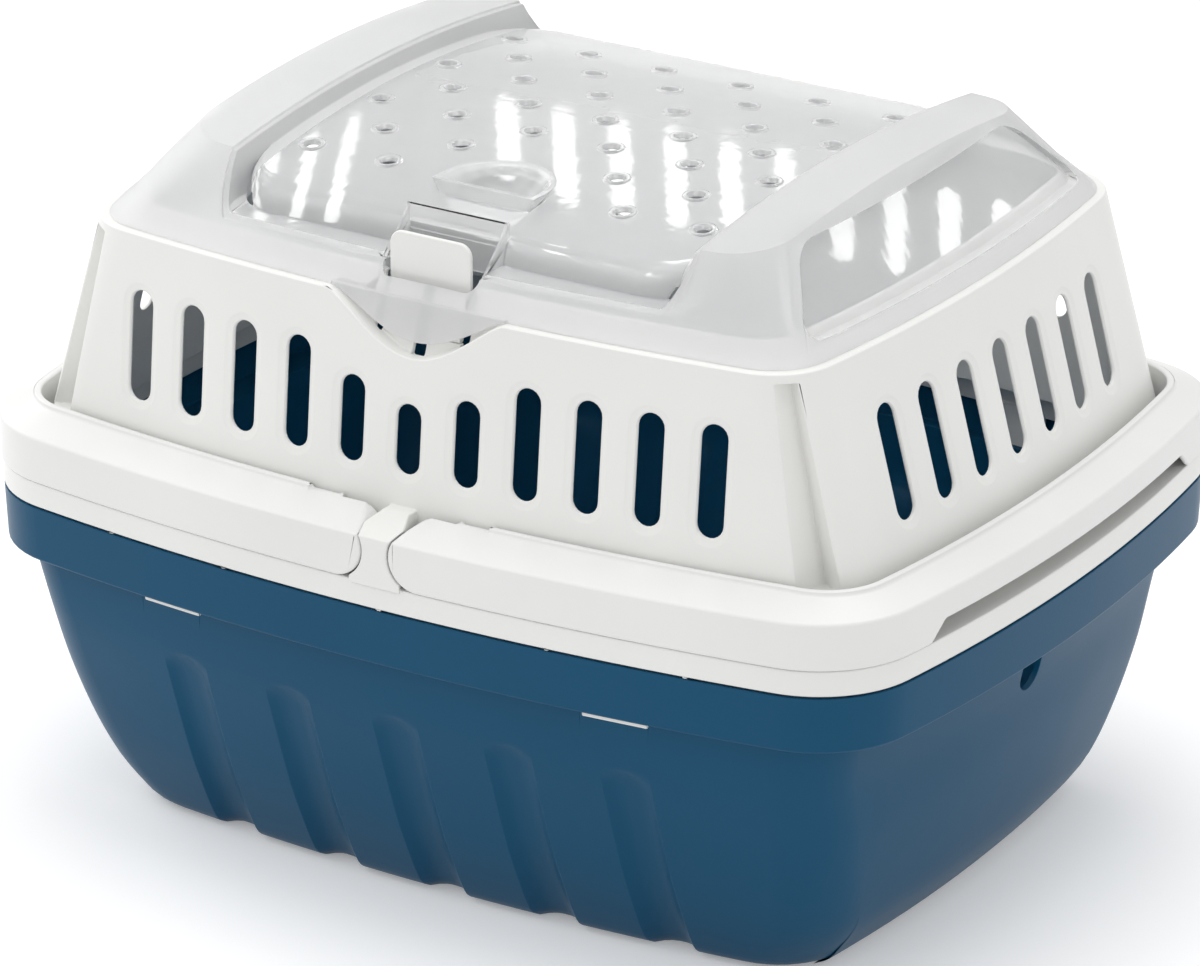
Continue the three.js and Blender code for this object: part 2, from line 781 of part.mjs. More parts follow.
// The plate that hangs from the lid's edge over the housing's front
function lidLobe() {
  const low = -2 * lobeDrop;
  const skins = [0, lidWall].map((inset) => solid(loft([
    ring(outline(lidHalfLength - endLean * low, lidHalfDepth - frontLean * low, lidCorner), low, inset),
    ring(outline(lidHalfLength, lidHalfDepth, lidCorner), 0, inset),
    ring(outline(lidHalfLength, lidHalfDepth, lidCorner), lobeOverlap, inset),
  ])));
  const front = lobeShape(0, lobeOverlap, 0, lobeDrop - lobeFootGap);
  return alongY(front, -halfDepth, 0).intersect(skins[0]).subtract(skins[1]);
}

// Vents in staggered rows over the middle panel
function vents() {
  const holes = [];
  for (let row = -3; row <= 3; row++) {
    const odd = row % 2 !== 0;
    for (let column = -2.5; column <= 2.5; column += 0.5) {
      const onRow = odd === (column % 1 !== 0);
      const besideScoop = row < -1 && Math.abs(column) < 1;
      if (!onRow || besideScoop) continue;
      const geometry = new THREE.CylinderGeometry(ventRadius, ventRadius, 2 * lidTop, 8);
      geometry.rotateX(Math.PI / 2);
      geometry.translate(column * ventPitchX, row * ventPitchY, 0);
      holes.push(solid(geometry));
    }
  }
  return joined(holes);
}

function latchWindow() {
  const half = latchWindowHalfWidth;
  const corner = latchWindowCorner;
  const shape = new THREE.Shape();
  shape.absarc(half - corner, corner - latchWindowFront, corner, -Math.PI / 2, 0, false);
  shape.lineTo(half, -latchWindowBack);
  shape.lineTo(-half, -latchWindowBack);
  shape.absarc(corner - half, corner - latchWindowFront, corner, Math.PI, Math.PI * 3 / 2, false);
  return alongZ(shape, 0, lidTop, 2);
}

function makeLid() {
  const outer = lidForm(0, 0);
  const windowSkin = windowDepth * Math.hypot(1, lidEndLean);
  const windows = ends(windowShape(0)).subtract(lidForm(windowSkin, lidTop / 2).add(
    solid(loft(lidRings(windowSkin)))));
  const windowBacks = ends(windowShape(lidWall)).subtract(solid(loft(lidRings(windowSkin + lidSkin))));
  const hollow = cutBy(lidForm(lidSkin, lidWall), [panelRecess(lidWall), windowBacks]);
  const underside = box(-halfLength, halfLength, -halfDepth, halfDepth, -overrun, 0);
  const opened = hollow.add(solid(loft([
    ...lidRings(lidSkin, -overrun).slice(0, 1),
    ring(outline(lidHalfLength, lidHalfDepth, lidCorner), lidOverlap, lidSkin),
  ])));
  const shell = cutBy(outer, [panelRecess(0), windows, opened]);
  const cup = scoop(lidWall, scoopRim);
  const body = joined([shell.subtract(underside), cup, lidLobe()]);
  return cutBy(body, [scoop(0, scoopRim + overrun), vents(), latchWindow()]);
}

// Springy tongue: two legs and the head that the thumb pushes
function makeTongue() {
  const legs = tongueLegsWidth / 2;
  const slit = tongueSlit / 2;
  const plate = box(-legs, legs, -halfDepth, -latchWindowBack, tongueFoot, tongueHeadFoot + tongueThickness)
    .subtract(behindTongue(tongueThickness));
  const front = alongX(polygon([
    [-halfDepth, channelFoot], [tongueFace(channelFoot), channelFoot],
    [tongueFace(tongueHeadTop), tongueHeadTop], [-halfDepth, tongueHeadTop],
  ]), -halfLength, halfLength);
  const legPlate = cutBy(plate, [front, box(-slit, slit, -halfDepth, 0, channelFoot, tongueHeadFoot)]);
  const half = tongueHeadWidth / 2;
  const corner = tongueHeadCorner;
  const shape = new THREE.Shape();
  shape.moveTo(-half, tongueHeadFoot);
  shape.lineTo(half, tongueHeadFoot);
  shape.absarc(half - corner, tongueHeadTop - corner, corner, 0, Math.PI / 2, false);
  shape.absarc(corner - half, tongueHeadTop - corner, corner, Math.PI / 2, Math.PI, false);
  const face = tongueFace(tongueHeadFoot);
  return legPlate.add(alongY(shape, face, face + tongueThickness));
}

// Stations of the right handle half, from near the middle of the front to the back
function handleStations(start) {
  const angle = Math.asin(start / longSideRadius) - Math.PI / 2;
  const front = quadrant(halfLength, halfDepth, rimCorner).filter((station) => station.angle > angle);
  front.unshift({ x: 0, y: longSideRadius - halfDepth, radius: longSideRadius, angle });
  const back = mirrored(front, false, true).reverse();
  return front.concat(back.slice(1));
}

// Sweeps a section along the handle; it is given the depths at the top and the foot
function handleSweep(start, section) {
  const rings = handleStations(start).map((station) => {
    const share = Math.abs(Math.cos(station.angle));
    const depth = THREE.MathUtils.lerp(handleFrontDepth, handleEndDepth, share);
    const foot = THREE.MathUtils.lerp(handleFrontFootDepth, handleEndFootDepth, share);
    return section(depth, foot).map(([inset, z]) => ring([station], z, inset)[0]);
  });
  return solid(loft(rings));
}

function handleEnvelope() {
  return handleSweep(pivotPlace - handleEndRadius - runningGap, (depth, foot) => [
    [-handleProud, handleFoot],
    [foot, handleFoot],
    [depth, handleTop],
    [depth - handleRidgeWidth, handleTop],
    [depth - handleRidgeWidth, handleRidgeFoot],
    [-handleProud, handleShoulder],
  ]);
}

function handleChannel() {
  return handleSweep(solidEndLength, (depth, foot) => [
    [wall - handleProud, handleFoot - overrun],
    [foot - wall, handleFoot - overrun],
    [depth - wall, handleRidgeFoot - wall],
    [depth - handleRidgeWidth - wall, handleRidgeFoot - wall],
    [wall - handleProud, handleShoulder - wall],
  ]);
}

function makeHandle() {
  const reach = halfDepth + overrun;
  const round = new THREE.Shape();
  round.moveTo(0, 0);
  round.lineTo(pivotPlace, 0);
  round.lineTo(pivotPlace, pivotHeight - handleEndRadius);
  round.absarc(pivotPlace, pivotHeight, handleEndRadius, -Math.PI / 2, Math.PI / 2, true);
  round.lineTo(pivotPlace, 2 * handleTop);
  round.lineTo(0, 2 * handleTop);
  const endTrim = alongY(round, -reach, reach, 16);
  const ridgeTrim = box(0, ridgeStart, -reach, reach, handleRidgeFoot, 2 * handleTop);
  const half = gripLength / 2;
  const low = handleFoot - overrun;
  const high = handleFoot + gripRise;
  const grip = alongX(polygon([
    [-half - gripSlant, low], [half + gripSlant, low], [half + gripSlant, handleFoot],
    [half, high], [-half, high], [-half - gripSlant, handleFoot],
  ]), halfLength - 2 * shoulderWidth, halfLength + overrun);
  const bore = pivotPin(1, pivotPinRadius + seatGap, pivotPinLength + 2 * seatGap);
  const reliefRadius = handleEndRadius + handleRelief;
  const disc = new THREE.Shape().absarc(pivotPlace, pivotHeight, reliefRadius, 0, 2 * Math.PI, false);
  const relief = alongY(disc, frontLean * flangeHeight - wallFootDepth - seatGap, 0, 10);
  return cutBy(handleEnvelope(), [
    endTrim, ridgeTrim, handleChannel(), grip, bore, flippedBack(bore), relief, flippedBack(relief)]);
}

// The same body mirrored from the front to the back
function flippedBack(body) {
  const flipped = surface(body);
  flipped.scale(1, -1, 1);
  flipped.setIndex(Array.from(flipped.index.array).reverse());
  return solid(flipped);
}

const group = new THREE.Group();

function add(name, body, colour, parent, roughness, opacity = 1) {
  const material = new THREE.MeshStandardMaterial({ color: colour, roughness, metalness: 0 });
  material.transparent = opacity < 1;
  material.opacity = opacity;
  const mesh = new THREE.Mesh(surface(body), material);
  mesh.name = name;
  parent.add(mesh);
}

add('base_tub', makeTub(), blue, group, plasticRoughness);

const upper = new THREE.Group();
upper.position.z = tubHeight + seatGap;
group.add(upper);
add('upper_housing', makeHousing(), white, upper, plasticRoughness);
add('latch_tongue', makeTongue(), white, upper, plasticRoughness);
const rightHandle = makeHandle();
add('handle_right', rightHandle, white, upper, plasticRoughness);
add('handle_left', turned(rightHandle), white, upper, plasticRoughness);

const cover = new THREE.Group();
cover.position.z = housingHeight + seatGap;
upper.add(cover);
add('lid', makeLid(), clear, cover, lidRoughness, lidOpacity);

export default group;
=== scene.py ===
# Carrier for a small animal: blue tub, white slotted housing, see-through lid, latch and grips.
# Metres. +X runs along the length, -Y is the front, +Z is up, z = 0 is the tub's floor.
import json
import math

import bmesh
import bpy
from mathutils import Matrix, Vector

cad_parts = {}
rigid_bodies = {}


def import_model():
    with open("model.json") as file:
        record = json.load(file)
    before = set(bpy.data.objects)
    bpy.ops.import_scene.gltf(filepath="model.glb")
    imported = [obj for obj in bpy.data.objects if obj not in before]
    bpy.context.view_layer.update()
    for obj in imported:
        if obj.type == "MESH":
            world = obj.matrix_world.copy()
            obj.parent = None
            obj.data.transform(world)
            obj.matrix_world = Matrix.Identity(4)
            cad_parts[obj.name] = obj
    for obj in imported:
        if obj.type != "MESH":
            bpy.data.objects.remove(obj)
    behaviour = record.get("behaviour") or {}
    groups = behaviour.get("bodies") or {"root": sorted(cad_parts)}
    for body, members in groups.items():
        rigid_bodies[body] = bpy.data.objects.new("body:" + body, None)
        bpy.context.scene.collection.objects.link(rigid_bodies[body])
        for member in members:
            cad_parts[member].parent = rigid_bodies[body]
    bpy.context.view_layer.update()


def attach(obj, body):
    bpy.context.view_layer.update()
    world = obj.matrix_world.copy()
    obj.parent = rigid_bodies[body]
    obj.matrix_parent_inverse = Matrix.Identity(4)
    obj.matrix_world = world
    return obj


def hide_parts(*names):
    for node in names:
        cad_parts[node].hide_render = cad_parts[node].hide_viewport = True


for stray in list(bpy.data.objects):
    bpy.data.objects.remove(stray)
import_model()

# Tub: the open lower half, injection moulded in one piece from deep blue polypropylene.
# Its four sides bow outward and meet in round corners, a band hangs round the rim, and five
# flutes stiffen each long side. The upper half's hooks snap in through slots under the band.
rim_half_length = 0.200
rim_half_depth = 0.155
long_side_radius = 1.017
short_side_radius = 0.731
rim_corner = 0.041
tub_corner = 0.028
tub_height = 0.131
step_height = 0.109
tub_wall = 0.0024
skirt_draft = 0.001
floor_height = 0.0024
tub_profile = (
    (0.0000, 0.1480, 0.1060), (0.0030, 0.1540, 0.1110), (0.0090, 0.1590, 0.1150),
    (0.0190, 0.1655, 0.1200), (0.0360, 0.1715, 0.1276), (0.0610, 0.1775, 0.1366),
    (0.0860, 0.1810, 0.1445), (0.1090, 0.1860, 0.1486),
)
flute_places = (-0.095, -0.0475, 0.0, 0.0475, 0.095)
flute_half_width = 0.00975
flute_top = 0.0860
flute_depth_top = 0.0019
flute_depth_foot = 0.0050
flute_reach = 0.11
hook_place = 0.095
hook_slot_size = (0.027, 0.0023, 0.012)


def corner_centre(half_length, half_depth, corner):
    """Where the round corner's centre lies, so that it runs into both bowed sides."""
    long_centre = long_side_radius - half_depth
    end_centre = short_side_radius - half_length
    long_reach = long_side_radius - corner
    end_reach = short_side_radius - corner
    apart = math.hypot(long_centre, end_centre)
    along = (long_reach ** 2 - end_reach ** 2 + apart ** 2) / (2 * apart)
    across = math.sqrt(long_reach ** 2 - along ** 2)
    ux, uy = -end_centre / apart, -long_centre / apart
    return along * ux - across * uy, long_centre + along * uy + across * ux


def arc(u, v, radius, start, sweep, steps):
    """Points on a round arc, from a starting angle through a sweep."""
    turns = [start + sweep * i / steps for i in range(steps + 1)]
    return [(u + radius * math.cos(turn), v + radius * math.sin(turn)) for turn in turns]


def outline(half_length, half_depth, corner, inset, xs, ys, bends=10, spread=3):
    """Points round a bowed rectangle, counter-clockwise from the middle of the front.
    xs and ys are places along the sides that get a point of their own."""
    cx, cy = corner_centre(half_length, half_depth, corner)
    long_centre = long_side_radius - half_depth
    end_centre = half_length - short_side_radius
    long_reach = long_side_radius - inset
    end_reach = short_side_radius - inset
    long_turn = math.atan2(cy - long_centre, cx)
    end_turn = math.atan2(cy, cx - end_centre)
    tangent_x = long_reach * math.cos(long_turn)
    tangent_y = end_reach * math.sin(end_turn)
    along = list(xs) + [xs[-1] + (tangent_x - xs[-1]) * i / spread for i in range(1, spread)]
    across = list(ys) + [ys[-1] + (-tangent_y - ys[-1]) * i / spread for i in range(1, spread)]
    quarter = [(x, long_centre - math.sqrt(long_reach ** 2 - x * x)) for x in along]
    quarter += arc(cx, cy, corner - inset, long_turn, end_turn - long_turn, bends)
    quarter += [(end_centre + math.sqrt(end_reach ** 2 - y * y), -y) for y in reversed(across)]
    half = quarter + [(x, -y) for x, y in reversed(quarter[:-1])]
    return half + [(-x, y) for x, y in reversed(half[1:-1])]


def at_height(points, z):
    """Lifts the points of an outline to a height."""
    return [Vector((x, y, z)) for x, y in points]


def loft(bm, rings, tube=False):
    """Raises a closed loop through rings; a tube closes on itself, else its ends are filled."""
    first = bmesh.ops.create_circle(bm, segments=len(rings[0]), radius=1)["verts"]
    for vertex, point in zip(first, rings[0]):
        vertex.co = point
    loop = first
    for points in rings[1:]:
        edges = [bm.edges.get((loop[i - 1], loop[i])) for i in range(len(loop))]
        grown = bmesh.ops.extrude_edge_only(bm, edges=edges)["geom"]
        fresh = {v for v in grown if isinstance(v, bmesh.types.BMVert)}
        loop = [next(e.other_vert(v) for e in v.link_edges if e.other_vert(v) in fresh)
                for v in loop]
        for vertex, point in zip(loop, points):
            vertex.co = point
    ends = [[bm.edges.get((ring[i - 1], ring[i])) for i in range(len(ring))]
            for ring in (first, loop)]
    if tube:
        bmesh.ops.bridge_loops(bm, edges=ends[0] + ends[1])
    else:
        for ring in ends:
            bmesh.ops.contextual_create(bm, geom=ring)


def prism(bm, points, axis, low, high):
    """A straight bar: a closed outline drawn across an axis and pushed along it."""
    place = {
        "X": lambda u, v: (low, u, v),
        "Y": lambda u, v: (u, low, v),
        "Z": lambda u, v: (u, v, low),
    }[axis]
    made = bmesh.ops.create_circle(bm, segments=len(points), radius=1, cap_ends=True)["verts"]
    for vertex, (u, v) in zip(made, points):
        vertex.co = place(u, v)
    face = made[0].link_faces[0]
    grown = bmesh.ops.extrude_face_region(bm, geom=[face])["geom"]
    push = Vector(tuple(high - low if name == axis else 0 for name in "XYZ"))
    bmesh.ops.translate(bm, verts=[v for v in grown if isinstance(v, bmesh.types.BMVert)], vec=push)


def block(bm, low, high):
    """A rectangular block between two corners."""
    size = [b - a for a, b in zip(low, high)]
    middle = [(a + b) / 2 for a, b in zip(low, high)]
    matrix = Matrix.Translation(middle) @ Matrix.Diagonal((*size, 1))
    bmesh.ops.create_cube(bm, size=1, matrix=matrix)


def piece_of(bm, name, material=None):
    """Turns a finished bmesh into an object at the origin."""
    bmesh.ops.recalc_face_normals(bm, faces=bm.faces[:])
    mesh = bpy.data.meshes.new(name)
    bm.to_mesh(mesh)
    bm.free()
    piece = bpy.data.objects.new(name, mesh)
    bpy.context.scene.collection.objects.link(piece)
    if material:
        mesh.materials.append(material)
    return piece


def shell(name, rings, material=None, tube=False):
    """A piece that is one loft."""
    bm = bmesh.new()
    loft(bm, rings, tube)
    return piece_of(bm, name, material)


def bar(name, points, axis, low, high, material=None):
    """A piece that is one straight bar."""
    bm = bmesh.new()
    prism(bm, points, axis, low, high)
    return piece_of(bm, name, material)


def settle(piece):
    """Writes a piece's modifiers into its mesh."""
    shown = piece.evaluated_get(bpy.context.evaluated_depsgraph_get())
    mesh = bpy.data.meshes.new_from_object(shown)
    piece.modifiers.clear()
    old, piece.data = piece.data, mesh
    bpy.data.meshes.remove(old)


def work(piece, *steps):
    """Cuts a piece with others, joins them to it or keeps what they share, in that order."""
    for operation, tool in steps:
        modifier = piece.modifiers.new(tool.name, "BOOLEAN")
        modifier.operation = operation
        modifier.solver = "MANIFOLD"
        modifier.material_mode = "TRANSFER"
        modifier.object = tool
    settle(piece)
    for _, tool in steps:
        bpy.data.objects.remove(tool)


def paint(piece, material):
    """Gives a whole piece one material."""
    piece.data.materials.clear()
    piece.data.materials.append(material)


def soften(piece, width, segments=2, angle=28):
    """Rounds the sharp edges that a mould leaves, and shades the rest smooth."""
    bm = bmesh.new()
    bm.from_mesh(piece.data)
    bmesh.ops.remove_doubles(bm, verts=bm.verts[:], dist=0.00002)
    bmesh.ops.dissolve_degenerate(bm, edges=bm.edges[:], dist=0.00002)
    bm.to_mesh(piece.data)
    bm.free()
    bevel = piece.modifiers.new("rounded edges", "BEVEL")
    bevel.width = width
    bevel.segments = segments
    bevel.limit_method = "ANGLE"
    bevel.angle_limit = math.radians(angle)
    bevel.use_clamp_overlap = False
    bevel.miter_outer = "MITER_ARC"
    settle(piece)
    piece.data.shade_smooth()
    piece.data.set_sharp_from_angle(angle=math.radians(50))
    normals = piece.modifiers.new("even shading", "WEIGHTED_NORMAL")
    normals.keep_sharp = True
    normals.weight = 80
    settle(piece)


def between(table, z):
    """Half length and half depth of the tub at a height, on a smooth curve through the table."""
    above = next(i for i in range(1, len(table)) if z <= table[i][0] or i == len(table) - 1)
    low, high = table[above - 1], table[above]
    before = table[max(above - 2, 0)]
    after = table[min(above + 1, len(table) - 1)]
    span = high[0] - low[0]
    t = (z - low[0]) / span
    found = []
    for k in (1, 2):
        start = (high[k] - before[k]) / max(high[0] - before[0], 1e-9) * span
        stop = (after[k] - low[k]) / max(after[0] - low[0], 1e-9) * span
        found.append(
            (2 * t ** 3 - 3 * t ** 2 + 1) * low[k] + (t ** 3 - 2 * t ** 2 + t) * start
            + (3 * t ** 2 - 2 * t ** 3) * high[k] + (t ** 3 - t ** 2) * stop)
    return found


def flute_depth(x, z):
    """How deep the nearest flute is at a place on a long side."""
    across = min(abs(x - place) for place in flute_places) / flute_half_width
    up = max(0, z - (flute_top - flute_half_width)) / flute_half_width
    share = 1 - math.hypot(across, up) ** 3
    depth = flute_depth_foot + (flute_depth_top - flute_depth_foot) * min(1, z / flute_top)
    return depth * max(0, share)


def flute_stations():
    """Places along a long side: nine over each flute, and a few between two flutes."""
    half = flute_half_width
    xs = [half * i / 4 for i in range(5)]
    for middle in flute_places[3:]:
        gap = middle - half - xs[-1]
        edge = xs[-1]
        xs += [edge + 0.0004] + [edge + gap * i / 4 for i in range(1, 4)] + [middle - half - 0.0004]
        xs += [middle + half * i / 4 for i in range(-4, 5)]
    return xs + [xs[-1] + 0.0004]


tub_xs = flute_stations()
end_ys = [0.012485 * i for i in range(8)]
heights = [0, 0.0008, 0.002, 0.0035, 0.0055, 0.008, 0.011, 0.0145, 0.019]
heights += [0.019 + 0.004 * i for i in range(1, 15)]
heights += [0.0767 + 0.0009 * i for i in range(12)] + [0.0900, 0.0945, 0.1000, 0.1050, 0.1090]


def tub_ring(z, inset):
    """The tub's wall at a height, with the flutes pushed in."""
    half_length, half_depth = between(tub_profile, z)
    points = outline(half_length, half_depth, tub_corner, inset, tub_xs, end_ys)
    ring = []
    for x, y in points:
        on_long_side = abs(y) > 0.6 * half_depth and abs(x) < flute_reach
        push = flute_depth(x, z) if on_long_side else 0
        ring.append(Vector((x, y - math.copysign(push, y), max(z, floor_height) if inset else z)))
    return ring


def rim_ring(z, inset):
    """The band round the tub's rim at a height."""
    return at_height(outline(rim_half_length, rim_half_depth, rim_corner, inset, tub_xs, end_ys), z)


outside = [tub_ring(z, 0) for z in heights]
outside += [rim_ring(step_height + 0.0004, skirt_draft + 0.0006)]
outside += [rim_ring(step_height + 0.0012, skirt_draft)]
outside += [rim_ring(tub_height - 0.0002, inset) for inset in (0, tub_wall)]
inside = [rim_ring(step_height + tub_wall, tub_wall + skirt_draft)]
inside += [[Vector((p.x, p.y, step_height + tub_wall)) for p in tub_ring(step_height, tub_wall)]]
inside += [tub_ring(z, tub_wall) for z in reversed(heights[1:-1:2])]
tub = shell("tub_shell", outside + inside)


def side_drop(x):
    """How far a long side has bowed back at a place along it."""
    return long_side_radius - math.sqrt(long_side_radius ** 2 - x * x)


def hook_boxes(bm, inset, z, size):
    """A block at each of the four hooks, turned with the bowed side: the hooks or their slots."""
    reach = rim_half_depth - side_drop(hook_place) - inset
    for side in (-1, 1):
        for end in (-1, 1):
            lean = math.asin(hook_place / long_side_radius) * side * end
            middle = Matrix.Translation((side * hook_place, end * reach, z))
            turned = middle @ Matrix.Rotation(-lean, 4, "Z")
            bmesh.ops.create_cube(bm, size=1, matrix=turned @ Matrix.Diagonal((*size, 1)))


# A round-ended hole under the band at each end, and the four slots that the hooks snap into
hole_half_width = 0.007
hole_foot = 0.0915
bm = bmesh.new()
hole = [(side * hole_half_width, step_height + 0.0002) for side in (-1, 1)]
hole += arc(0, hole_foot, hole_half_width, 0, -math.pi, 12)
prism(bm, hole, "X", -0.22, 0.22)
hook_boxes(bm, 0.0046, step_height + 0.0058, hook_slot_size)
work(tub, ("DIFFERENCE", piece_of(bm, "tub_holes")))
soften(tub, 0.0003)


def plastic(name, colour, roughness, grain, depth, shine=0.5):
    """Moulded plastic with the fine grain that the mould leaves on it."""
    material = bpy.data.materials.new(name)
    material.use_nodes = True
    nodes, links = material.node_tree.nodes, material.node_tree.links
    shader = nodes["Principled BSDF"]
    shader.inputs["IOR"].default_value = 1.49
    shader.inputs["Specular IOR Level"].default_value = shine
    place = nodes.new("ShaderNodeTexCoord")
    cloud = nodes.new("ShaderNodeTexNoise")
    cloud.inputs["Scale"].default_value = 14
    cloud.inputs["Detail"].default_value = 3
    links.new(place.outputs["Object"], cloud.inputs["Vector"])
    tint = nodes.new("ShaderNodeMix")
    tint.data_type = "RGBA"
    tint.inputs[6].default_value = (*[c * 0.95 for c in colour], 1)
    tint.inputs[7].default_value = (*[min(1, c * 1.05) for c in colour], 1)
    links.new(cloud.outputs["Fac"], tint.inputs["Factor"])
    links.new(tint.outputs[2], shader.inputs["Base Color"])
    gloss = nodes.new("ShaderNodeMapRange")
    gloss.inputs["To Min"].default_value = roughness - 0.05
    gloss.inputs["To Max"].default_value = roughness + 0.05
    links.new(cloud.outputs["Fac"], gloss.inputs["Value"])
    links.new(gloss.outputs["Result"], shader.inputs["Roughness"])
    fine = nodes.new("ShaderNodeTexNoise")
    fine.inputs["Scale"].default_value = grain
    fine.inputs["Detail"].default_value = 2
    links.new(place.outputs["Object"], fine.inputs["Vector"])
    bump = nodes.new("ShaderNodeBump")
    bump.inputs["Strength"].default_value = 0.25
    bump.inputs["Distance"].default_value = depth
    links.new(fine.outputs["Fac"], bump.inputs["Height"])
    links.new(bump.outputs["Normal"], shader.inputs["Normal"])
    return material


blue_plastic = plastic("blue polypropylene", (0.004, 0.071, 0.150), 0.38, 900, 0.0001, 0.16)
paint(tub, blue_plastic)
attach(tub, "tub")
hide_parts("base_tub")

# Upper housing: the half that snaps on to the tub's rim, moulded in one piece from white
# polypropylene: four hooks, a shoulder that the grips lie on, slotted walls that lean in, a V
# channel at each corner, and the ledge and upstand that carry the lid. Sizes are outer faces.
seam = 0.1313
housing_wall = 0.0024
flange_height = 0.010
housing_height = 0.1074
end_lean = 0.268
front_lean = 0.094
housing_corner = 0.026
upstand_height = 0.0063
upstand_lean = 0.375
upstand_corner = 0.020
foot_half_length = rim_half_length - 0.0135 + end_lean * flange_height
foot_half_depth = rim_half_depth - 0.0166 + front_lean * flange_height
top_half_length = foot_half_length - end_lean * housing_height
top_half_depth = foot_half_depth - front_lean * housing_height
ledge_length = 0.014
ledge_depth = 0.0104
slot_pitch = 0.02434
end_slot_pitch = 0.02497
slot_half_width = 0.005
slot_foot = 0.045
slot_height = 0.0415
housing_xs = [slot_pitch / 2 * i for i in range(11)]


def flange_ring(z, inset=0.0):
    """The flange's outline at a height over the seam."""
    points = outline(rim_half_length, rim_half_depth, rim_corner, inset, housing_xs, end_ys, 16)
    return at_height(points, seam + z)


def wall_ring(z, inset=0.0, level=None):
    """The leaning walls at a height, drawn at another level where one is given."""
    points = outline(foot_half_length - end_lean * z, foot_half_depth - front_lean * z,
                     housing_corner, inset, housing_xs, end_ys, 16)
    return at_height(points, seam + (z if level is None else level))


def upstand_ring(z, inset=0.0):
    """The upstand round the lid's opening."""
    points = outline(top_half_length - ledge_length, top_half_depth - ledge_depth,
                     upstand_corner, inset, housing_xs[:9], end_ys[:7], 16, 5)
    return at_height(points, seam + z)


lip_foot = -0.006
lip_outer = housing_wall + 0.0006
lip_inner = lip_outer + housing_wall
shoulder = flange_height - housing_wall
ledge = housing_height - housing_wall
housing = shell("housing_shell", [
    flange_ring(lip_foot, lip_outer),
    flange_ring(0.0003, lip_outer),
    flange_ring(0.0003),
    flange_ring(flange_height),
    wall_ring(flange_height),
    wall_ring(housing_height),
    upstand_ring(housing_height),
    upstand_ring(housing_height + upstand_height, upstand_lean * upstand_height),
    upstand_ring(housing_height + upstand_height, upstand_lean * upstand_height + housing_wall),
    upstand_ring(ledge, housing_wall * (1 - upstand_lean)),
    wall_ring(ledge, housing_wall),
    wall_ring(shoulder, housing_wall),
    flange_ring(shoulder, housing_wall),
    flange_ring(housing_wall, housing_wall),
    flange_ring(housing_wall, lip_inner),
    flange_ring(lip_foot, lip_inner),
], tube=True)


def wall_envelope(name):
    """Everything within the outer wall; it trims the liners of the channels and of the lobe."""
    return shell(name, [wall_ring(flange_height, 0, shoulder), wall_ring(housing_height)])


channel_foot = 0.030
channel_top = 0.104
channel_lean = 0.21
channel_front = 0.1462
outer_reach = 0.17


def channels(name, grow):
    """The V-shaped channels at the four corners; grow thickens them by a wall."""
    bm = bmesh.new()
    apex_x, apex_y, end_x, end_y = 0.1590, -0.1094, 0.1724, -0.1170
    slope = Vector((end_x - apex_x, end_y - apex_y)).normalized()
    inward = Vector((-slope.y, slope.x)) * grow
    for flip_x in (1, -1):
        for flip_y in (1, -1):
            rings = []
            for z in (channel_foot - grow, channel_top + grow):
                lean = channel_lean * (z - channel_foot)
                apex = Vector((apex_x - lean, apex_y)) + inward
                turn = (apex_x - lean - grow - apex.x) / slope.x
                inner = apex + slope * turn
                far = apex + slope * 0.06
                front = channel_front - lean - grow
                plan = [(front, -outer_reach), (far.x, -outer_reach), far, inner]
                rings.append([Vector((x * flip_x, y * flip_y, seam + z)) for x, y in plan])
            loft(bm, rings)
    return piece_of(bm, name)


lobe_half_width = 0.037
lobe_drop = 0.0145
lobe_gap = 0.0045


def lobe_outline(edge, top, grow, fall):
    """Front view of the lid's lobe or of its room, from its left end round its lower edge."""
    points = []
    for i in range(33):
        share = 2 * i / 32 - 1
        drop = fall * math.cos(math.pi / 2 * abs(share)) ** 1.25
        points.append((share * (lobe_half_width + grow), edge - grow - drop))
    return points + [(lobe_half_width + grow, top), (-lobe_half_width - grow, top)]


def tongue_plane(z):
    """Front face of the upstand and of the latch at a height over the seam."""
    return -(top_half_depth - ledge_depth) + upstand_lean * (z - housing_height)


def lobe_room(name, grow, back):
    """The space in front of the latch's plane that the lobe hangs in."""
    front = lobe_outline(housing_height, 0.130, grow, lobe_drop + lobe_gap)
    room = bar(name, [(x, seam + z) for x, z in front], "Y", -0.16, -0.09)
    low, high = 0.02, 0.140
    behind_latch = bar("behind_latch", [
        (tongue_plane(low) + back, seam + low), (0.1, seam + low),
        (0.1, seam + high), (tongue_plane(high) + back, seam + high),
    ], "X", -0.1, 0.1)
    work(room, ("DIFFERENCE", behind_latch))
    return room


channel_liner = channels("channel_liner", housing_wall)
work(channel_liner, ("INTERSECT", wall_envelope("envelope_a")))
lobe_liner = lobe_room("lobe_liner", housing_wall, housing_wall)
work(lobe_liner, ("INTERSECT", wall_envelope("envelope_b")))

# The posts between the grips: hollow sides round the grips' ends, a sloped top, pins to turn on
pivot_place = 0.0175
pivot_height = 0.022
pin_radius, pin_length = 0.004, 0.009
grip_end_radius = 0.0117
grip_proud = 0.001
grip_edge = 0.028
grip_crown = 0.0332
grip_slope = 0.0147
post_foot = 0.0088
post_half_width, post_back_half_width = 0.0109, 0.0057
post_front = -(rim_half_depth + grip_proud)
post_back = -(foot_half_depth - front_lean * 0.034)


def circle(u, v, radius, steps):
    """Points round a full circle."""
    return arc(u, v, radius, 0, 2 * math.pi, steps)[:-1]


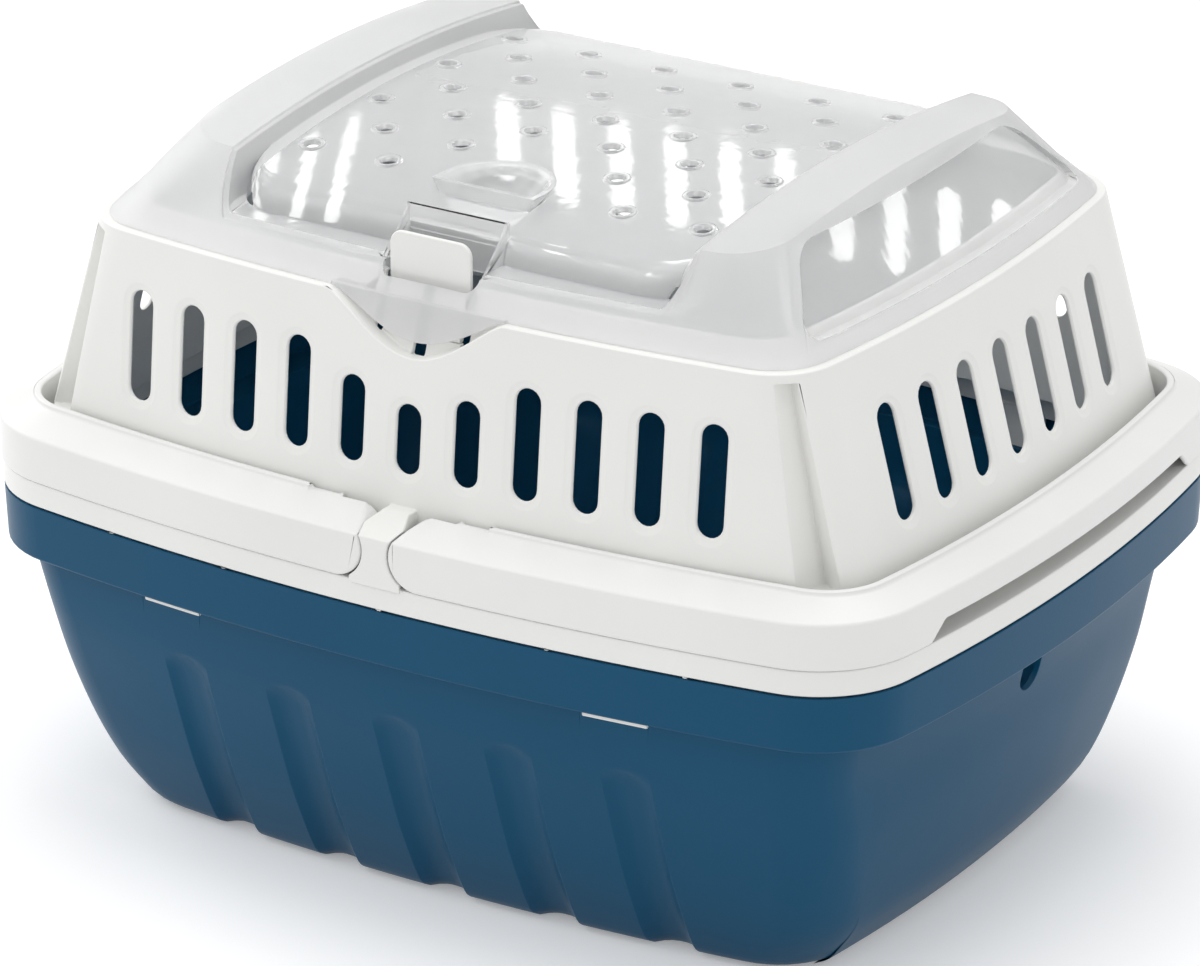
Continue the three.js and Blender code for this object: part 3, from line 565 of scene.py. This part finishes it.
bm = bmesh.new()
for flip in (1, -1):
    profile = [(post_front, post_foot), (post_back, post_foot), (post_back, grip_crown),
               (post_front + grip_slope, grip_crown), (post_front, grip_edge)]
    prism(bm, [(y * flip, seam + z) for y, z in profile], "X", -pivot_place, pivot_place)
posts = piece_of(bm, "posts")
bm = bmesh.new()
for side in (1, -1):
    gap = grip_end_radius + 0.0006
    prism(bm, circle(side * pivot_place, seam + pivot_height, gap, 48), "Y", -0.2, 0.2)
rounds = piece_of(bm, "post_sides")
bm = bmesh.new()
for side in (1, -1):
    for flip in (1, -1):
        plan = [
            (post_half_width, post_front - 0.005), (post_half_width, post_front),
            (post_back_half_width, post_front + grip_slope),
            (post_back_half_width, post_back + 0.005),
            (pivot_place + 0.005, post_back + 0.005), (pivot_place + 0.005, post_front - 0.005),
        ]
        prism(bm, [(x * side, y * flip) for x, y in plan], "Z", seam, seam + 0.06)
trims = piece_of(bm, "post_trims")
work(posts, ("DIFFERENCE", rounds), ("DIFFERENCE", trims))
bm = bmesh.new()
for side in (1, -1):
    for flip in (1, -1):
        face = foot_half_depth - front_lean * pivot_height
        centre = (side * pivot_place, flip * (face + 0.0039), seam + pivot_height)
        matrix = Matrix.Translation(centre) @ Matrix.Rotation(math.pi / 2, 4, "X")
        bmesh.ops.create_cone(bm, cap_ends=True, segments=32, radius1=pin_radius,
                              radius2=pin_radius, depth=pin_length, matrix=matrix)
pins = piece_of(bm, "pins")

# The four hooks that hold the housing on the tub
hook_size = (0.026, 0.0018, 0.0208)
bm = bmesh.new()
hook_boxes(bm, 0.0048, seam - 0.014, hook_size)

# Small nubs in the seam keep the flange a hair above the tub's rim
nub_half_width = 0.0009
for place in (-0.121, -0.068, 0.001, 0.070, 0.124):
    for end in (-1, 1):
        edge = rim_half_depth - side_drop(place)
        near, far = sorted((end * (edge - 0.0004), end * (edge - 0.0022)))
        left, right = place - nub_half_width, place + nub_half_width
        block(bm, (left, near, seam - 0.0003), (right, far, seam + 0.0010))
hooks = piece_of(bm, "hooks")

# Slots: eleven in front, the middle ones shorter under the latch, and seven at each end. Each
# has a shallow dish pressed round it, given as how far it reaches past the slot and its level.
slot_sizes = {0: 0.026, 1: 0.032}
slot_dish = (
    (0.0042, 0.0010), (0.0036, 0.0), (0.0028, -0.00035), (0.0018, -0.0006),
    (0.0006, -0.00075), (0.0001, -0.0009), (0.0, -0.0100),
)


def slot(middle, foot, top, half):
    """A slot's outline: a half circle below, a half circle above."""
    low = arc(middle, foot + half, half, math.pi, math.pi, 10)
    return low + arc(middle, top - half, half, 0, math.pi, 10)


def on_wall(along, z, level, end):
    """A place on the long or the end wall, lifted outward from its face by a level."""
    if end:
        bow, half = short_side_radius, foot_half_length - end_lean * z
    else:
        bow, half = long_side_radius, foot_half_depth - front_lean * z
    turn = math.asin(along / bow)
    out = half - bow + (bow + level) * math.cos(turn)
    side = (bow + level) * math.sin(turn)
    return (out, side) if end else (side, out)


def dished_slot(bm, middle, top, end, flip):
    """One slot with the shallow dish that is pressed round it."""
    rings = []
    for grow, level in slot_dish:
        plan = slot(middle, slot_foot - grow, top + grow, slot_half_width + grow)
        ring = [(*on_wall(along, z, level, end), seam + z) for along, z in plan]
        turned = (flip, 1, 1) if end else (1, flip, 1)
        rings.append([Vector(place) * Vector(turned) for place in ring])
    loft(bm, rings)


bm = bmesh.new()
for i in range(-5, 6):
    front_top = slot_foot + slot_sizes.get(abs(i), slot_height)
    dished_slot(bm, i * slot_pitch, front_top, False, -1)
    dished_slot(bm, i * slot_pitch, slot_foot + slot_height, False, 1)
for i in range(-3, 4):
    for flip in (1, -1):
        dished_slot(bm, i * end_slot_pitch, slot_foot + slot_height, True, flip)
slots = piece_of(bm, "slots")

# The slits that free the latch from the upstand
leg_inner, leg_outer, slit_outer = 0.0026, 0.0165, 0.0198
leg_foot, head_foot, head_top = 0.095, 0.1105, 0.130
slit_back = 0.006
middle_slit_foot, side_slit_foot, slit_top = 0.0875, 0.0915, 0.0965


def latch_slit(bm, low_x, high_x, foot, top, back):
    """A cut right through the latch's plane, between two places along X."""
    front = 0.0006
    prism(bm, [
        (tongue_plane(foot) - front, seam + foot), (tongue_plane(foot) + back, seam + foot),
        (tongue_plane(top) + back, seam + top), (tongue_plane(top) - front, seam + top),
    ], "X", low_x, high_x)


bm = bmesh.new()
latch_slit(bm, -slit_outer, slit_outer, leg_foot - 0.0003, head_top + 0.010, 0.030)
latch_gap = piece_of(bm, "latch_gap")
bm = bmesh.new()
latch_slit(bm, -leg_inner, leg_inner, middle_slit_foot, slit_top, slit_back)
latch_slit(bm, -slit_outer, -leg_outer - 0.0002, side_slit_foot, slit_top, slit_back)
latch_slit(bm, leg_outer + 0.0002, slit_outer, side_slit_foot, slit_top, slit_back)
leg_slits = piece_of(bm, "leg_slits")

work(housing, ("UNION", channel_liner), ("UNION", lobe_liner), ("UNION", posts), ("UNION", pins),
     ("UNION", hooks), ("DIFFERENCE", channels("channel_cut", 0)),
     ("DIFFERENCE", lobe_room("lobe_cut", 0, 0)), ("DIFFERENCE", latch_gap),
     ("DIFFERENCE", leg_slits), ("DIFFERENCE", slots))
soften(housing, 0.0006)
white_plastic = plastic("white polypropylene", (0.83, 0.83, 0.81), 0.36, 900, 0.0001, 0.35)
paint(housing, white_plastic)
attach(housing, "housing")
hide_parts("upper_housing")

# Latch: a springy tongue on two legs, moulded with the housing from the same white plastic. Its
# head stands up through the lid's window, and the thumb pushes it back to free the lid.
tongue_wall = 0.002
bm = bmesh.new()
for side in (1, -1):
    prism(bm, [
        (tongue_plane(leg_foot), seam + leg_foot),
        (tongue_plane(leg_foot) + tongue_wall, seam + leg_foot),
        (tongue_plane(head_foot) + tongue_wall, seam + head_foot + 0.001),
        (tongue_plane(head_foot), seam + head_foot + 0.001),
    ], "X", *sorted((side * leg_inner, side * leg_outer)))
legs = piece_of(bm, "latch_legs")
half, corner = 0.017, 0.005
head = [(-half, seam + head_foot), (half, seam + head_foot)]
for cx, start in ((half - corner, 0), (corner - half, math.pi / 2)):
    head += arc(cx, seam + head_top - corner, corner, start, math.pi / 2, 8)
face = tongue_plane(head_foot)
latch = bar("latch_spring", head, "Y", face, face + tongue_wall)
work(latch, ("UNION", legs))
soften(latch, 0.0005)
paint(latch, white_plastic)
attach(latch, "latch")
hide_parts("latch_tongue")

# Grips: two hollow halves moulded from white polypropylene, open below, that lie on the shoulder
# and swing up on the housing's pins. Each runs from the front post round one end to the back
# post, with round ends and a thin ridge along its inner edge.
grip_foot = 0.0103
grip_top = 0.0346
grip_wall = 0.0024
ridge_width = 0.003
front_depth, end_depth = 0.0177, 0.0142
front_foot_depth, end_foot_depth = 0.0158, 0.0127
hand_gap_top = 0.0173
hand_gap_half, hand_gap_crown_half = 0.096, 0.088
relief_bores = ((grip_end_radius + 0.0014, 0.12, 0.1387), (pin_radius + 0.0003, 0.13871, 0.1462))


def grip_stations(start):
    """Outline points of the right half from a place near the front post round to the back."""
    xs = [start + (0.140 - start) * i / 16 for i in range(17)]
    ys = [0.014 * i for i in range(8)]
    points = outline(rim_half_length, rim_half_depth, rim_corner, 0, xs, ys, 16)
    last = next(i for i, (x, y) in enumerate(points) if i > 0 and y > 0 and x <= start + 1e-6)
    return points[: last + 1]


def grip_sweep(name, start, section):
    """Sweeps a section along the rim; it gets shallower where the grip runs over the end."""
    path = grip_stations(start)
    rings = []
    for i, (x, y) in enumerate(path):
        before = Vector(path[max(i - 1, 0)])
        after = Vector(path[min(i + 1, len(path) - 1)])
        along = (after - before).normalized()
        outward = Vector((along.y, -along.x))
        if i in (0, len(path) - 1):
            outward = Vector((0, math.copysign(1, y)))
        share = abs(outward.x)
        depth = front_depth + (end_depth - front_depth) * share
        foot = front_foot_depth + (end_foot_depth - front_foot_depth) * share
        rings.append([Vector((x - outward.x * inset, y - outward.y * inset, seam + z))
                      for inset, z in section(depth, foot)])
    return shell(name, rings)


def make_grip(side):
    """One half of the handle, made on the right and turned over for the left."""
    body = grip_sweep("grip", 0.0052, lambda depth, foot: [
        (-grip_proud, grip_foot), (foot, grip_foot), (depth, grip_top),
        (depth - ridge_width, grip_top), (depth - ridge_width, grip_crown),
        (-grip_proud, grip_edge)])
    hollow = grip_sweep("grip_hollow", 0.030, lambda depth, foot: [
        (grip_wall - grip_proud, grip_foot - 0.005), (foot - grip_wall, grip_foot - 0.005),
        (depth - grip_wall, grip_crown - grip_wall),
        (depth - ridge_width - grip_wall, grip_crown - grip_wall),
        (grip_wall - grip_proud, grip_edge - grip_wall)])
    pivot = seam + pivot_height
    trim = arc(pivot_place, pivot, grip_end_radius, -math.pi / 2, -math.pi, 24)
    low, high = pivot - grip_end_radius - 0.02, pivot + grip_end_radius + 0.02
    trim = [(0, low), (pivot_place, low)] + trim + [(pivot_place, high), (0, high)]
    end_trim = bar("grip_ends", trim, "Y", -outer_reach, outer_reach)
    bm = bmesh.new()
    block(bm, (0, -outer_reach, seam + grip_crown), (0.038, outer_reach, seam + 0.05))
    ridge_trim = piece_of(bm, "grip_ridge")
    hand_gap = bar("grip_hand_gap", [
        (-hand_gap_half, seam), (hand_gap_half, seam), (hand_gap_half, seam + grip_foot),
        (hand_gap_crown_half, seam + hand_gap_top), (-hand_gap_crown_half, seam + hand_gap_top),
        (-hand_gap_half, seam + grip_foot),
    ], "X", 0.173, 0.21)
    bm = bmesh.new()
    for end in (-1, 1):
        for radius, near, far in relief_bores:
            prism(bm, circle(pivot_place, pivot, radius, 32), "Y", *sorted((end * near, end * far)))
    relief = piece_of(bm, "grip_relief")
    work(body, ("DIFFERENCE", end_trim), ("DIFFERENCE", ridge_trim), ("DIFFERENCE", hollow),
         ("DIFFERENCE", hand_gap), ("DIFFERENCE", relief))
    body.name = "grip_right" if side > 0 else "grip_left"
    if side < 0:
        bm = bmesh.new()
        bm.from_mesh(body.data)
        half_turn = Matrix.Rotation(math.pi, 3, "Z")
        bmesh.ops.rotate(bm, verts=bm.verts[:], cent=(0, 0, 0), matrix=half_turn)
        bm.to_mesh(body.data)
        bm.free()
    soften(body, 0.0010, 3)
    paint(body, grip_plastic)
    return body


grip_plastic = plastic("white grip plastic", (0.82, 0.82, 0.81), 0.33, 900, 0.0001, 0.35)
for side, node, body in ((1, "handle_right", "right_handle"), (-1, "handle_left", "left_handle")):
    grip = make_grip(side)
    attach(grip, body)
    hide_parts(node)

# Lid: a 2 mm cover of clear polystyrene that sits on the housing's ledge round the upstand. Its
# border, the bands across both ends, the corners and the lobe over the latch are frosted by the
# mould; the sunk panel with its staggered vents and the end windows are left clear.
lid_edge = seam + 0.1077
lid_half_length = top_half_length - 0.003
lid_half_depth = top_half_depth - 0.003
lid_corner = 0.024
lid_wall = 0.002
lid_end_lean = 0.875
lid_skin = lid_wall * math.hypot(1, lid_end_lean)
border_height = 0.0124
border_run = 0.012
lid_front_lean = 0.69
lid_top = 0.0374
lid_arch = 0.714
panel_top = 0.0304
panel_arch = 0.555
panel_half_length = 0.097
window_depth = 0.003 * math.hypot(1, lid_end_lean)


def lid_material(name, colour, roughness, through, grain, depth):
    """Clear or frosted plastic that bends what is seen through it and passes most of the light."""
    material = plastic(name, colour, roughness, grain, depth)
    nodes, links = material.node_tree.nodes, material.node_tree.links
    shader = nodes["Principled BSDF"]
    shader.inputs["Transmission Weight"].default_value = through
    shader.inputs["IOR"].default_value = 1.33
    passing = nodes.new("ShaderNodeLightPath")
    thinner = nodes.new("ShaderNodeMath")
    thinner.operation = "MULTIPLY_ADD"
    thinner.inputs[1].default_value = -0.75
    thinner.inputs[2].default_value = 1.0
    links.new(passing.outputs["Is Shadow Ray"], thinner.inputs[0])
    links.new(thinner.outputs["Value"], shader.inputs["Alpha"])
    return material


frosted = lid_material("frosted polystyrene", (0.80, 0.803, 0.803), 0.50, 0.42, 1400, 0.00005)
clear = lid_material("clear polystyrene", (0.95, 0.955, 0.955), 0.06, 0.70, 70, 0.0006)


def lid_ring(z, half_length, half_depth, inset):
    """The lid's outline at a height over its edge."""
    points = outline(half_length, half_depth, lid_corner, inset, housing_xs[:7], end_ys[:5], 16, 6)
    return at_height(points, lid_edge + z)


def lid_sides(inset, name, material):
    """The sloping sides as one closed block, moved inward by an inset."""
    inner_depth = lid_half_depth - border_run
    levels = (
        (-0.010, lid_half_depth), (0, lid_half_depth), (border_height, inner_depth),
        (border_height + lid_top, inner_depth - lid_front_lean * lid_top),
    )
    return shell(name, [lid_ring(z, lid_half_length - lid_end_lean * max(z, 0), half_depth, inset)
                        for z, half_depth in levels], material)


def arch_height(radius, top, y):
    """Height of a low arch across the lid, off its middle by y."""
    return top - radius + math.sqrt(radius ** 2 - y * y)


def arch_points(radius, top, reach, steps):
    """The same arch as points from front to back."""
    places = [reach * (2 * i / steps - 1) for i in range(steps + 1)]
    return [(y, arch_height(radius, top, y)) for y in places]


def lid_form(inset, drop, foot, name, material):
    """The lid's whole outer form, moved inward by an inset: its sides under its arched top."""
    form = lid_sides(inset, name, material)
    roof = arch_points(lid_arch, lid_top - drop, 0.130, 32)
    profile = [(-0.130, foot), (0.130, foot)] + roof[::-1]
    under_arch = [(y, lid_edge + z) for y, z in profile]
    work(form, ("INTERSECT", bar("under_arch", under_arch, "X", -0.2, 0.2, material)))
    return form


def round_over(piece, width, segments, lowest):
    """Rounds the sharp edges of a block above a height."""
    bm = bmesh.new()
    bm.from_mesh(piece.data)
    bmesh.ops.dissolve_limit(bm, angle_limit=0.004, verts=bm.verts[:], edges=bm.edges[:])
    edges = [e for e in bm.edges if len(e.link_faces) == 2 and e.calc_face_angle(0) > 0.5
             and min(v.co.z for v in e.verts) > lowest]
    bmesh.ops.bevel(bm, geom=edges, offset=width, segments=segments, profile=0.5, affect="EDGES",
                    offset_type="OFFSET", clamp_overlap=True, material=-1)
    bm.to_mesh(piece.data)
    bm.free()


def panel_recess(grow, name):
    """The space over the sunk panel: round corners in plan, a rolled front and back edge."""
    corner = 0.020
    stations = []
    for i in range(9):
        turn = math.pi / 2 * i / 8
        x = panel_half_length + grow - corner * (1 - math.cos(turn))
        stations.append((x, corner * (1 - math.sin(turn))))
    stations = [(-x, pull) for x, pull in stations] + stations[::-1]
    crease, foot = 0.0935 - grow / 2, 0.103 - grow / 2
    floor, end = border_height - 0.0010 - grow, 0.116 + grow
    roof = arch_points(panel_arch, panel_top - grow, crease, 24)
    brow = roof[-1][1]
    bend = [(crease, brow), (crease + 0.7 * (foot - crease), brow - 0.0010),
            (foot, brow - 0.45 * (brow - floor)), (foot + 0.0002, floor)]
    roll = []
    for i in range(1, 9):
        t = i / 8
        weights = ((1 - t) ** 3, 3 * t * (1 - t) ** 2, 3 * t * t * (1 - t), t ** 3)
        roll.append(tuple(sum(w * p[k] for w, p in zip(weights, bend)) for k in (0, 1)))
    profile = [(-end, floor)] + [(-y, z) for y, z in reversed(roll)] + roof + roll
    profile += [(end, floor), (end, 0.08), (-end, 0.08)]
    rings = []
    for x, pull in stations:
        lift = arch_height(panel_arch, panel_top - grow, crease - pull) - brow
        ring = []
        for y, z in profile:
            if abs(y) <= crease:
                y *= 1 - pull / crease
                z = arch_height(panel_arch, panel_top - grow, y)
            else:
                y -= math.copysign(pull, y)
                z += lift * min(1, (z - floor) / (brow - floor))
            ring.append(Vector((x, y, lid_edge + z)))
        rings.append(ring)
    bm = bmesh.new()
    loft(bm, rings)
    for face in bm.faces:
        nearest = min(abs(vertex.co.x) for vertex in face.verts)
        face.material_index = int(nearest > panel_half_length + grow - 0.006)
    recess = piece_of(bm, name, clear)
    recess.data.materials.append(frosted)
    return recess


def window_bars(grow, name):
    """The tapered, round-cornered frames of the end windows, as bars along X."""
    foot, top = 0.100 + grow, 0.075 + grow
    low, high = 0.0055 - grow, 0.0315 + grow
    corner = 0.010
    slant = Vector((top - foot, high - low)).normalized() * corner
    corners = [
        ((foot - corner, low), (foot, low), (foot + slant.x, low + slant.y)),
        ((top - slant.x, high - slant.y), (top, high), (top - corner, high)),
    ]
    side = []
    for start, knee, stop in corners:
        for i in range(9):
            t = i / 8
            weights = ((1 - t) ** 2, 2 * t * (1 - t), t * t)
            side.append(tuple(sum(w * p[k] for w, p in zip(weights, (start, knee, stop)))
                              for k in (0, 1)))
    shape = side + [(-y, z) for y, z in reversed(side)]
    bm = bmesh.new()
    inner = panel_half_length + lid_wall
    for near, far in ((inner, 0.2), (-0.2, -inner)):
        prism(bm, [(y, lid_edge + z) for y, z in shape], "X", near, far)
    return piece_of(bm, name, clear)


outer = lid_form(0, 0, 0, "lid_cover", frosted)
round_over(outer, 0.0050, 5, lid_edge + 0.016)
windows = window_bars(0, "windows")
work(windows, ("DIFFERENCE", lid_sides(window_depth, "window_floor", clear)))
window_backs = window_bars(lid_wall, "window_backs")
work(window_backs, ("DIFFERENCE", lid_sides(window_depth + lid_skin, "window_back_floor", clear)))
hollow = lid_form(lid_skin, lid_wall, -0.005, "lid_hollow", clear)
work(hollow, ("DIFFERENCE", panel_recess(lid_wall, "panel_under")), ("DIFFERENCE", window_backs))

# A shallow step round the sunk panel
step_width, step_depth, step_foot = 0.0018, 0.0010, 0.0095
lip = panel_recess(step_width, "panel_lip")
bm = bmesh.new()
block(bm, (-0.12, -0.116, lid_edge + step_foot), (0.12, 0.116, lid_edge + 0.045))
work(lip, ("DIFFERENCE", lid_form(step_depth, step_depth, -0.005, "below_lip", frosted)),
     ("INTERSECT", piece_of(bm, "lip_reach", frosted)))
paint(lip, frosted)
work(outer, ("DIFFERENCE", panel_recess(0, "panel_over")), ("DIFFERENCE", lip),
     ("DIFFERENCE", windows), ("DIFFERENCE", hollow))

# The finger scoop and the lobe over the latch
scoop_rim = 0.030
scoop_depth = 0.012
scoop_half_width, scoop_floor_half_width = 0.020, 0.009
scoop_floor_front, scoop_floor_rear = -0.079, -0.068


def scoop_bowl(grow, top, name):
    """The finger scoop behind the latch, a small bowl: straight in front, round at the back."""
    floor = scoop_rim - scoop_depth - grow
    rings = []
    for i in range(7):
        t = i / 6
        share = t + 0.35 * math.sin(math.pi * t) * (1 - t)
        half_width = scoop_floor_half_width + grow
        half_width += (scoop_half_width - scoop_floor_half_width) * share
        front = scoop_floor_front - 0.002 * share - grow
        rear = scoop_floor_rear + 0.0145 * share + grow
        straight = (rear - front) / 4
        bend = rear - front - straight
        plan = []
        for k in range(25):
            turn = math.pi * k / 24
            plan.append((half_width * math.cos(turn), front + straight + bend * math.sin(turn)))
        plan += [(-half_width, front), (half_width, front)]
        rings.append(at_height(plan, lid_edge + floor + (top - floor) * t))
    return shell(name, rings, clear)


def lobe_block(inset, name):
    """The lid's sides carried on below its edge, where the lobe hangs over the latch's legs."""
    rings = []
    for z, fall in ((-0.034, 0.034), (0, 0), (0.001, 0)):
        half_length = lid_half_length + end_lean * fall
        rings.append(lid_ring(z, half_length, lid_half_depth + front_lean * fall, inset))
    return shell(name, rings, frosted)


front = [(x, lid_edge + z) for x, z in lobe_outline(0, 0.001, 0, lobe_drop)]
lobe = bar("lobe", front, "Y", -0.16, -0.09, frosted)
work(lobe, ("INTERSECT", lobe_block(0, "lobe_front")),
     ("DIFFERENCE", lobe_block(lid_wall, "lobe_back")))

# Vents: holes of 6.7 mm with a low collar round each, in staggered rows that skip the scoop
vent_pitch_x, vent_pitch_y = 0.0333, 0.0228
vent_radius, collar_radius, collar_height = 0.00335, 0.0050, 0.0006
vent_places = []
for row in range(-3, 4):
    for step in range(-5, 6):
        if (step - row) % 2 == 0 and not (row < -1 and abs(step) < 2):
            vent_places.append((step * vent_pitch_x / 2, row * vent_pitch_y))


def vent_rods(name, radius, low, high):
    """Upright rods at all the vents, square to the arched panel."""
    bm = bmesh.new()
    for x, y in vent_places:
        height = arch_height(panel_arch, panel_top, y)
        tilt = Matrix.Rotation(-math.asin(y / panel_arch), 4, "X")
        lie = Matrix.Translation((x, y, lid_edge + height)) @ tilt
        matrix = lie @ Matrix.Translation((0, 0, (low + high) / 2))
        bmesh.ops.create_cone(bm, cap_ends=True, segments=28, radius1=radius, radius2=radius,
                              depth=high - low, matrix=matrix)
    return piece_of(bm, name, clear)


# The window that the latch's head stands in, with clear cheeks and a back wall
window_half_width, cheek_half_width = 0.020, 0.0215
window_foot, window_crown = lid_edge + 0.0045, lid_edge + 0.0262
plan = [(window_half_width, -0.100)]
plan += arc(window_half_width - 0.004, -0.1165, 0.004, 0, -math.pi / 2, 6)
plan += [(-x, y) for x, y in reversed(plan)]
latch_window = bar("latch_window", plan, "Z", lid_edge, lid_edge + lid_top, clear)
window_walls = []
for side in (-1, 1):
    cheek = bar("window_cheek", [
        (-0.1195, window_foot), (-0.0995, window_foot), (-0.0995, window_crown),
        (-0.1030, lid_edge + 0.0215), (-0.1150, lid_edge + 0.0105),
    ], "X", *sorted((side * window_half_width, side * cheek_half_width)), clear)
    window_walls.append(("UNION", cheek))
bm = bmesh.new()
block(bm, (-cheek_half_width, -0.0998, window_foot + 0.0005),
      (cheek_half_width, -0.0983, window_crown))
window_walls.append(("UNION", piece_of(bm, "window_back_wall", clear)))
cup = scoop_bowl(lid_wall, scoop_rim, "scoop_cup")
work(outer, ("UNION", cup), ("UNION", lobe), *window_walls,
     ("UNION", vent_rods("vent_collars", collar_radius, -0.0012, collar_height)),
     ("DIFFERENCE", scoop_bowl(0, scoop_rim + 0.0005, "scoop_hollow")),
     ("DIFFERENCE", vent_rods("vent_holes", vent_radius, -0.005, 0.003)),
     ("DIFFERENCE", latch_window))
soften(outer, 0.0005)
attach(outer, "lid")
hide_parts("lid")

# Studio: a pale floor that reads white to the camera and keeps the carrier's shadow, broad soft
# lamps, and the camera at the photograph's angle.
scene = bpy.context.scene
scene.view_settings.view_transform = "Standard"
bm = bmesh.new()
below = Matrix.Translation((0, 0, -0.0002))
bmesh.ops.create_grid(bm, x_segments=1, y_segments=1, size=6, matrix=below)
floor = piece_of(bm, "floor")
floor_paper = bpy.data.materials.new("white paper")
floor_paper.use_nodes = True
nodes, links = floor_paper.node_tree.nodes, floor_paper.node_tree.links
paper = nodes["Principled BSDF"]
paper.inputs["Base Color"].default_value = (0.88, 0.88, 0.88, 1)
paper.inputs["Roughness"].default_value = 0.9
paper.inputs["Specular IOR Level"].default_value = 0.0
glow = nodes.new("ShaderNodeEmission")
glow.inputs["Strength"].default_value = 0.25


def seen_directly(nodes, links):
    """One for rays from the camera and for those that gloss and glass send on."""
    path = nodes.new("ShaderNodeLightPath")
    total = path.outputs["Is Camera Ray"]
    for kind in ("Is Glossy Ray", "Is Transmission Ray"):
        more = nodes.new("ShaderNodeMath")
        more.use_clamp = True
        links.new(total, more.inputs[0])
        links.new(path.outputs[kind], more.inputs[1])
        total = more.outputs["Value"]
    return total


share = nodes.new("ShaderNodeMixShader")
dark = nodes.new("ShaderNodeEmission")
dark.inputs["Strength"].default_value = 0.0
links.new(seen_directly(nodes, links), share.inputs["Fac"])
links.new(dark.outputs["Emission"], share.inputs[1])
links.new(glow.outputs["Emission"], share.inputs[2])
both = nodes.new("ShaderNodeAddShader")
links.new(paper.outputs["BSDF"], both.inputs[0])
links.new(share.outputs["Shader"], both.inputs[1])
links.new(both.outputs["Shader"], nodes["Material Output"].inputs["Surface"])
floor.data.materials.append(floor_paper)

world = bpy.data.worlds.new("studio")
scene.world = world
world.use_nodes = True
nodes, links = world.node_tree.nodes, world.node_tree.links
around = nodes["Background"]
around.inputs["Color"].default_value = (1, 1, 1, 1)
around.inputs["Strength"].default_value = 0.68
behind = nodes.new("ShaderNodeBackground")
behind.inputs["Strength"].default_value = 1.0
share = nodes.new("ShaderNodeMixShader")
links.new(seen_directly(nodes, links), share.inputs["Fac"])
links.new(around.outputs["Background"], share.inputs[1])
links.new(behind.outputs["Background"], share.inputs[2])
links.new(share.outputs["Shader"], nodes["World Output"].inputs["Surface"])

middle = Vector((0, 0, 0.13))
for name, place, size, power in (
    ("key", (-1.2, -1.3, 1.9), 1.4, 11),
    ("side", (-2.2, 0.3, 1.2), 1.4, 12),
    ("top", (0.1, 0.3, 2.3), 1.8, 19),
    ("fill", (1.9, -1.0, 0.7), 1.2, 3),
):
    lamp = bpy.data.lights.new(name, "AREA")
    lamp.size = size
    lamp.energy = power
    holder = bpy.data.objects.new(name, lamp)
    holder.location = place
    holder.rotation_euler = (middle - Vector(place)).to_track_quat("-Z", "Y").to_euler()
    scene.collection.objects.link(holder)

azimuth, elevation, roll = math.radians(31.92), math.radians(22.62), math.radians(0.05)
level = Vector((math.sin(azimuth), -math.cos(azimuth), 0))
back = level * math.cos(elevation) + Vector((0, 0, math.sin(elevation)))
right = Vector((math.cos(azimuth), math.sin(azimuth), 0))
up = back.cross(right)
lens = bpy.data.cameras.new("camera")
lens.sensor_width = 36
lens.lens = 220.8
lens.clip_end = 50
camera = bpy.data.objects.new("camera", lens)
aim = Vector((0, 0, 0.131)) - right * 0.0019 - up * 0.0049
camera.location = aim + back * 2.7465
turn = Matrix((right, up, back)).transposed()
camera.rotation_euler = (turn @ Matrix.Rotation(roll, 3, "Z")).to_euler()
scene.collection.objects.link(camera)
scene.camera = camera
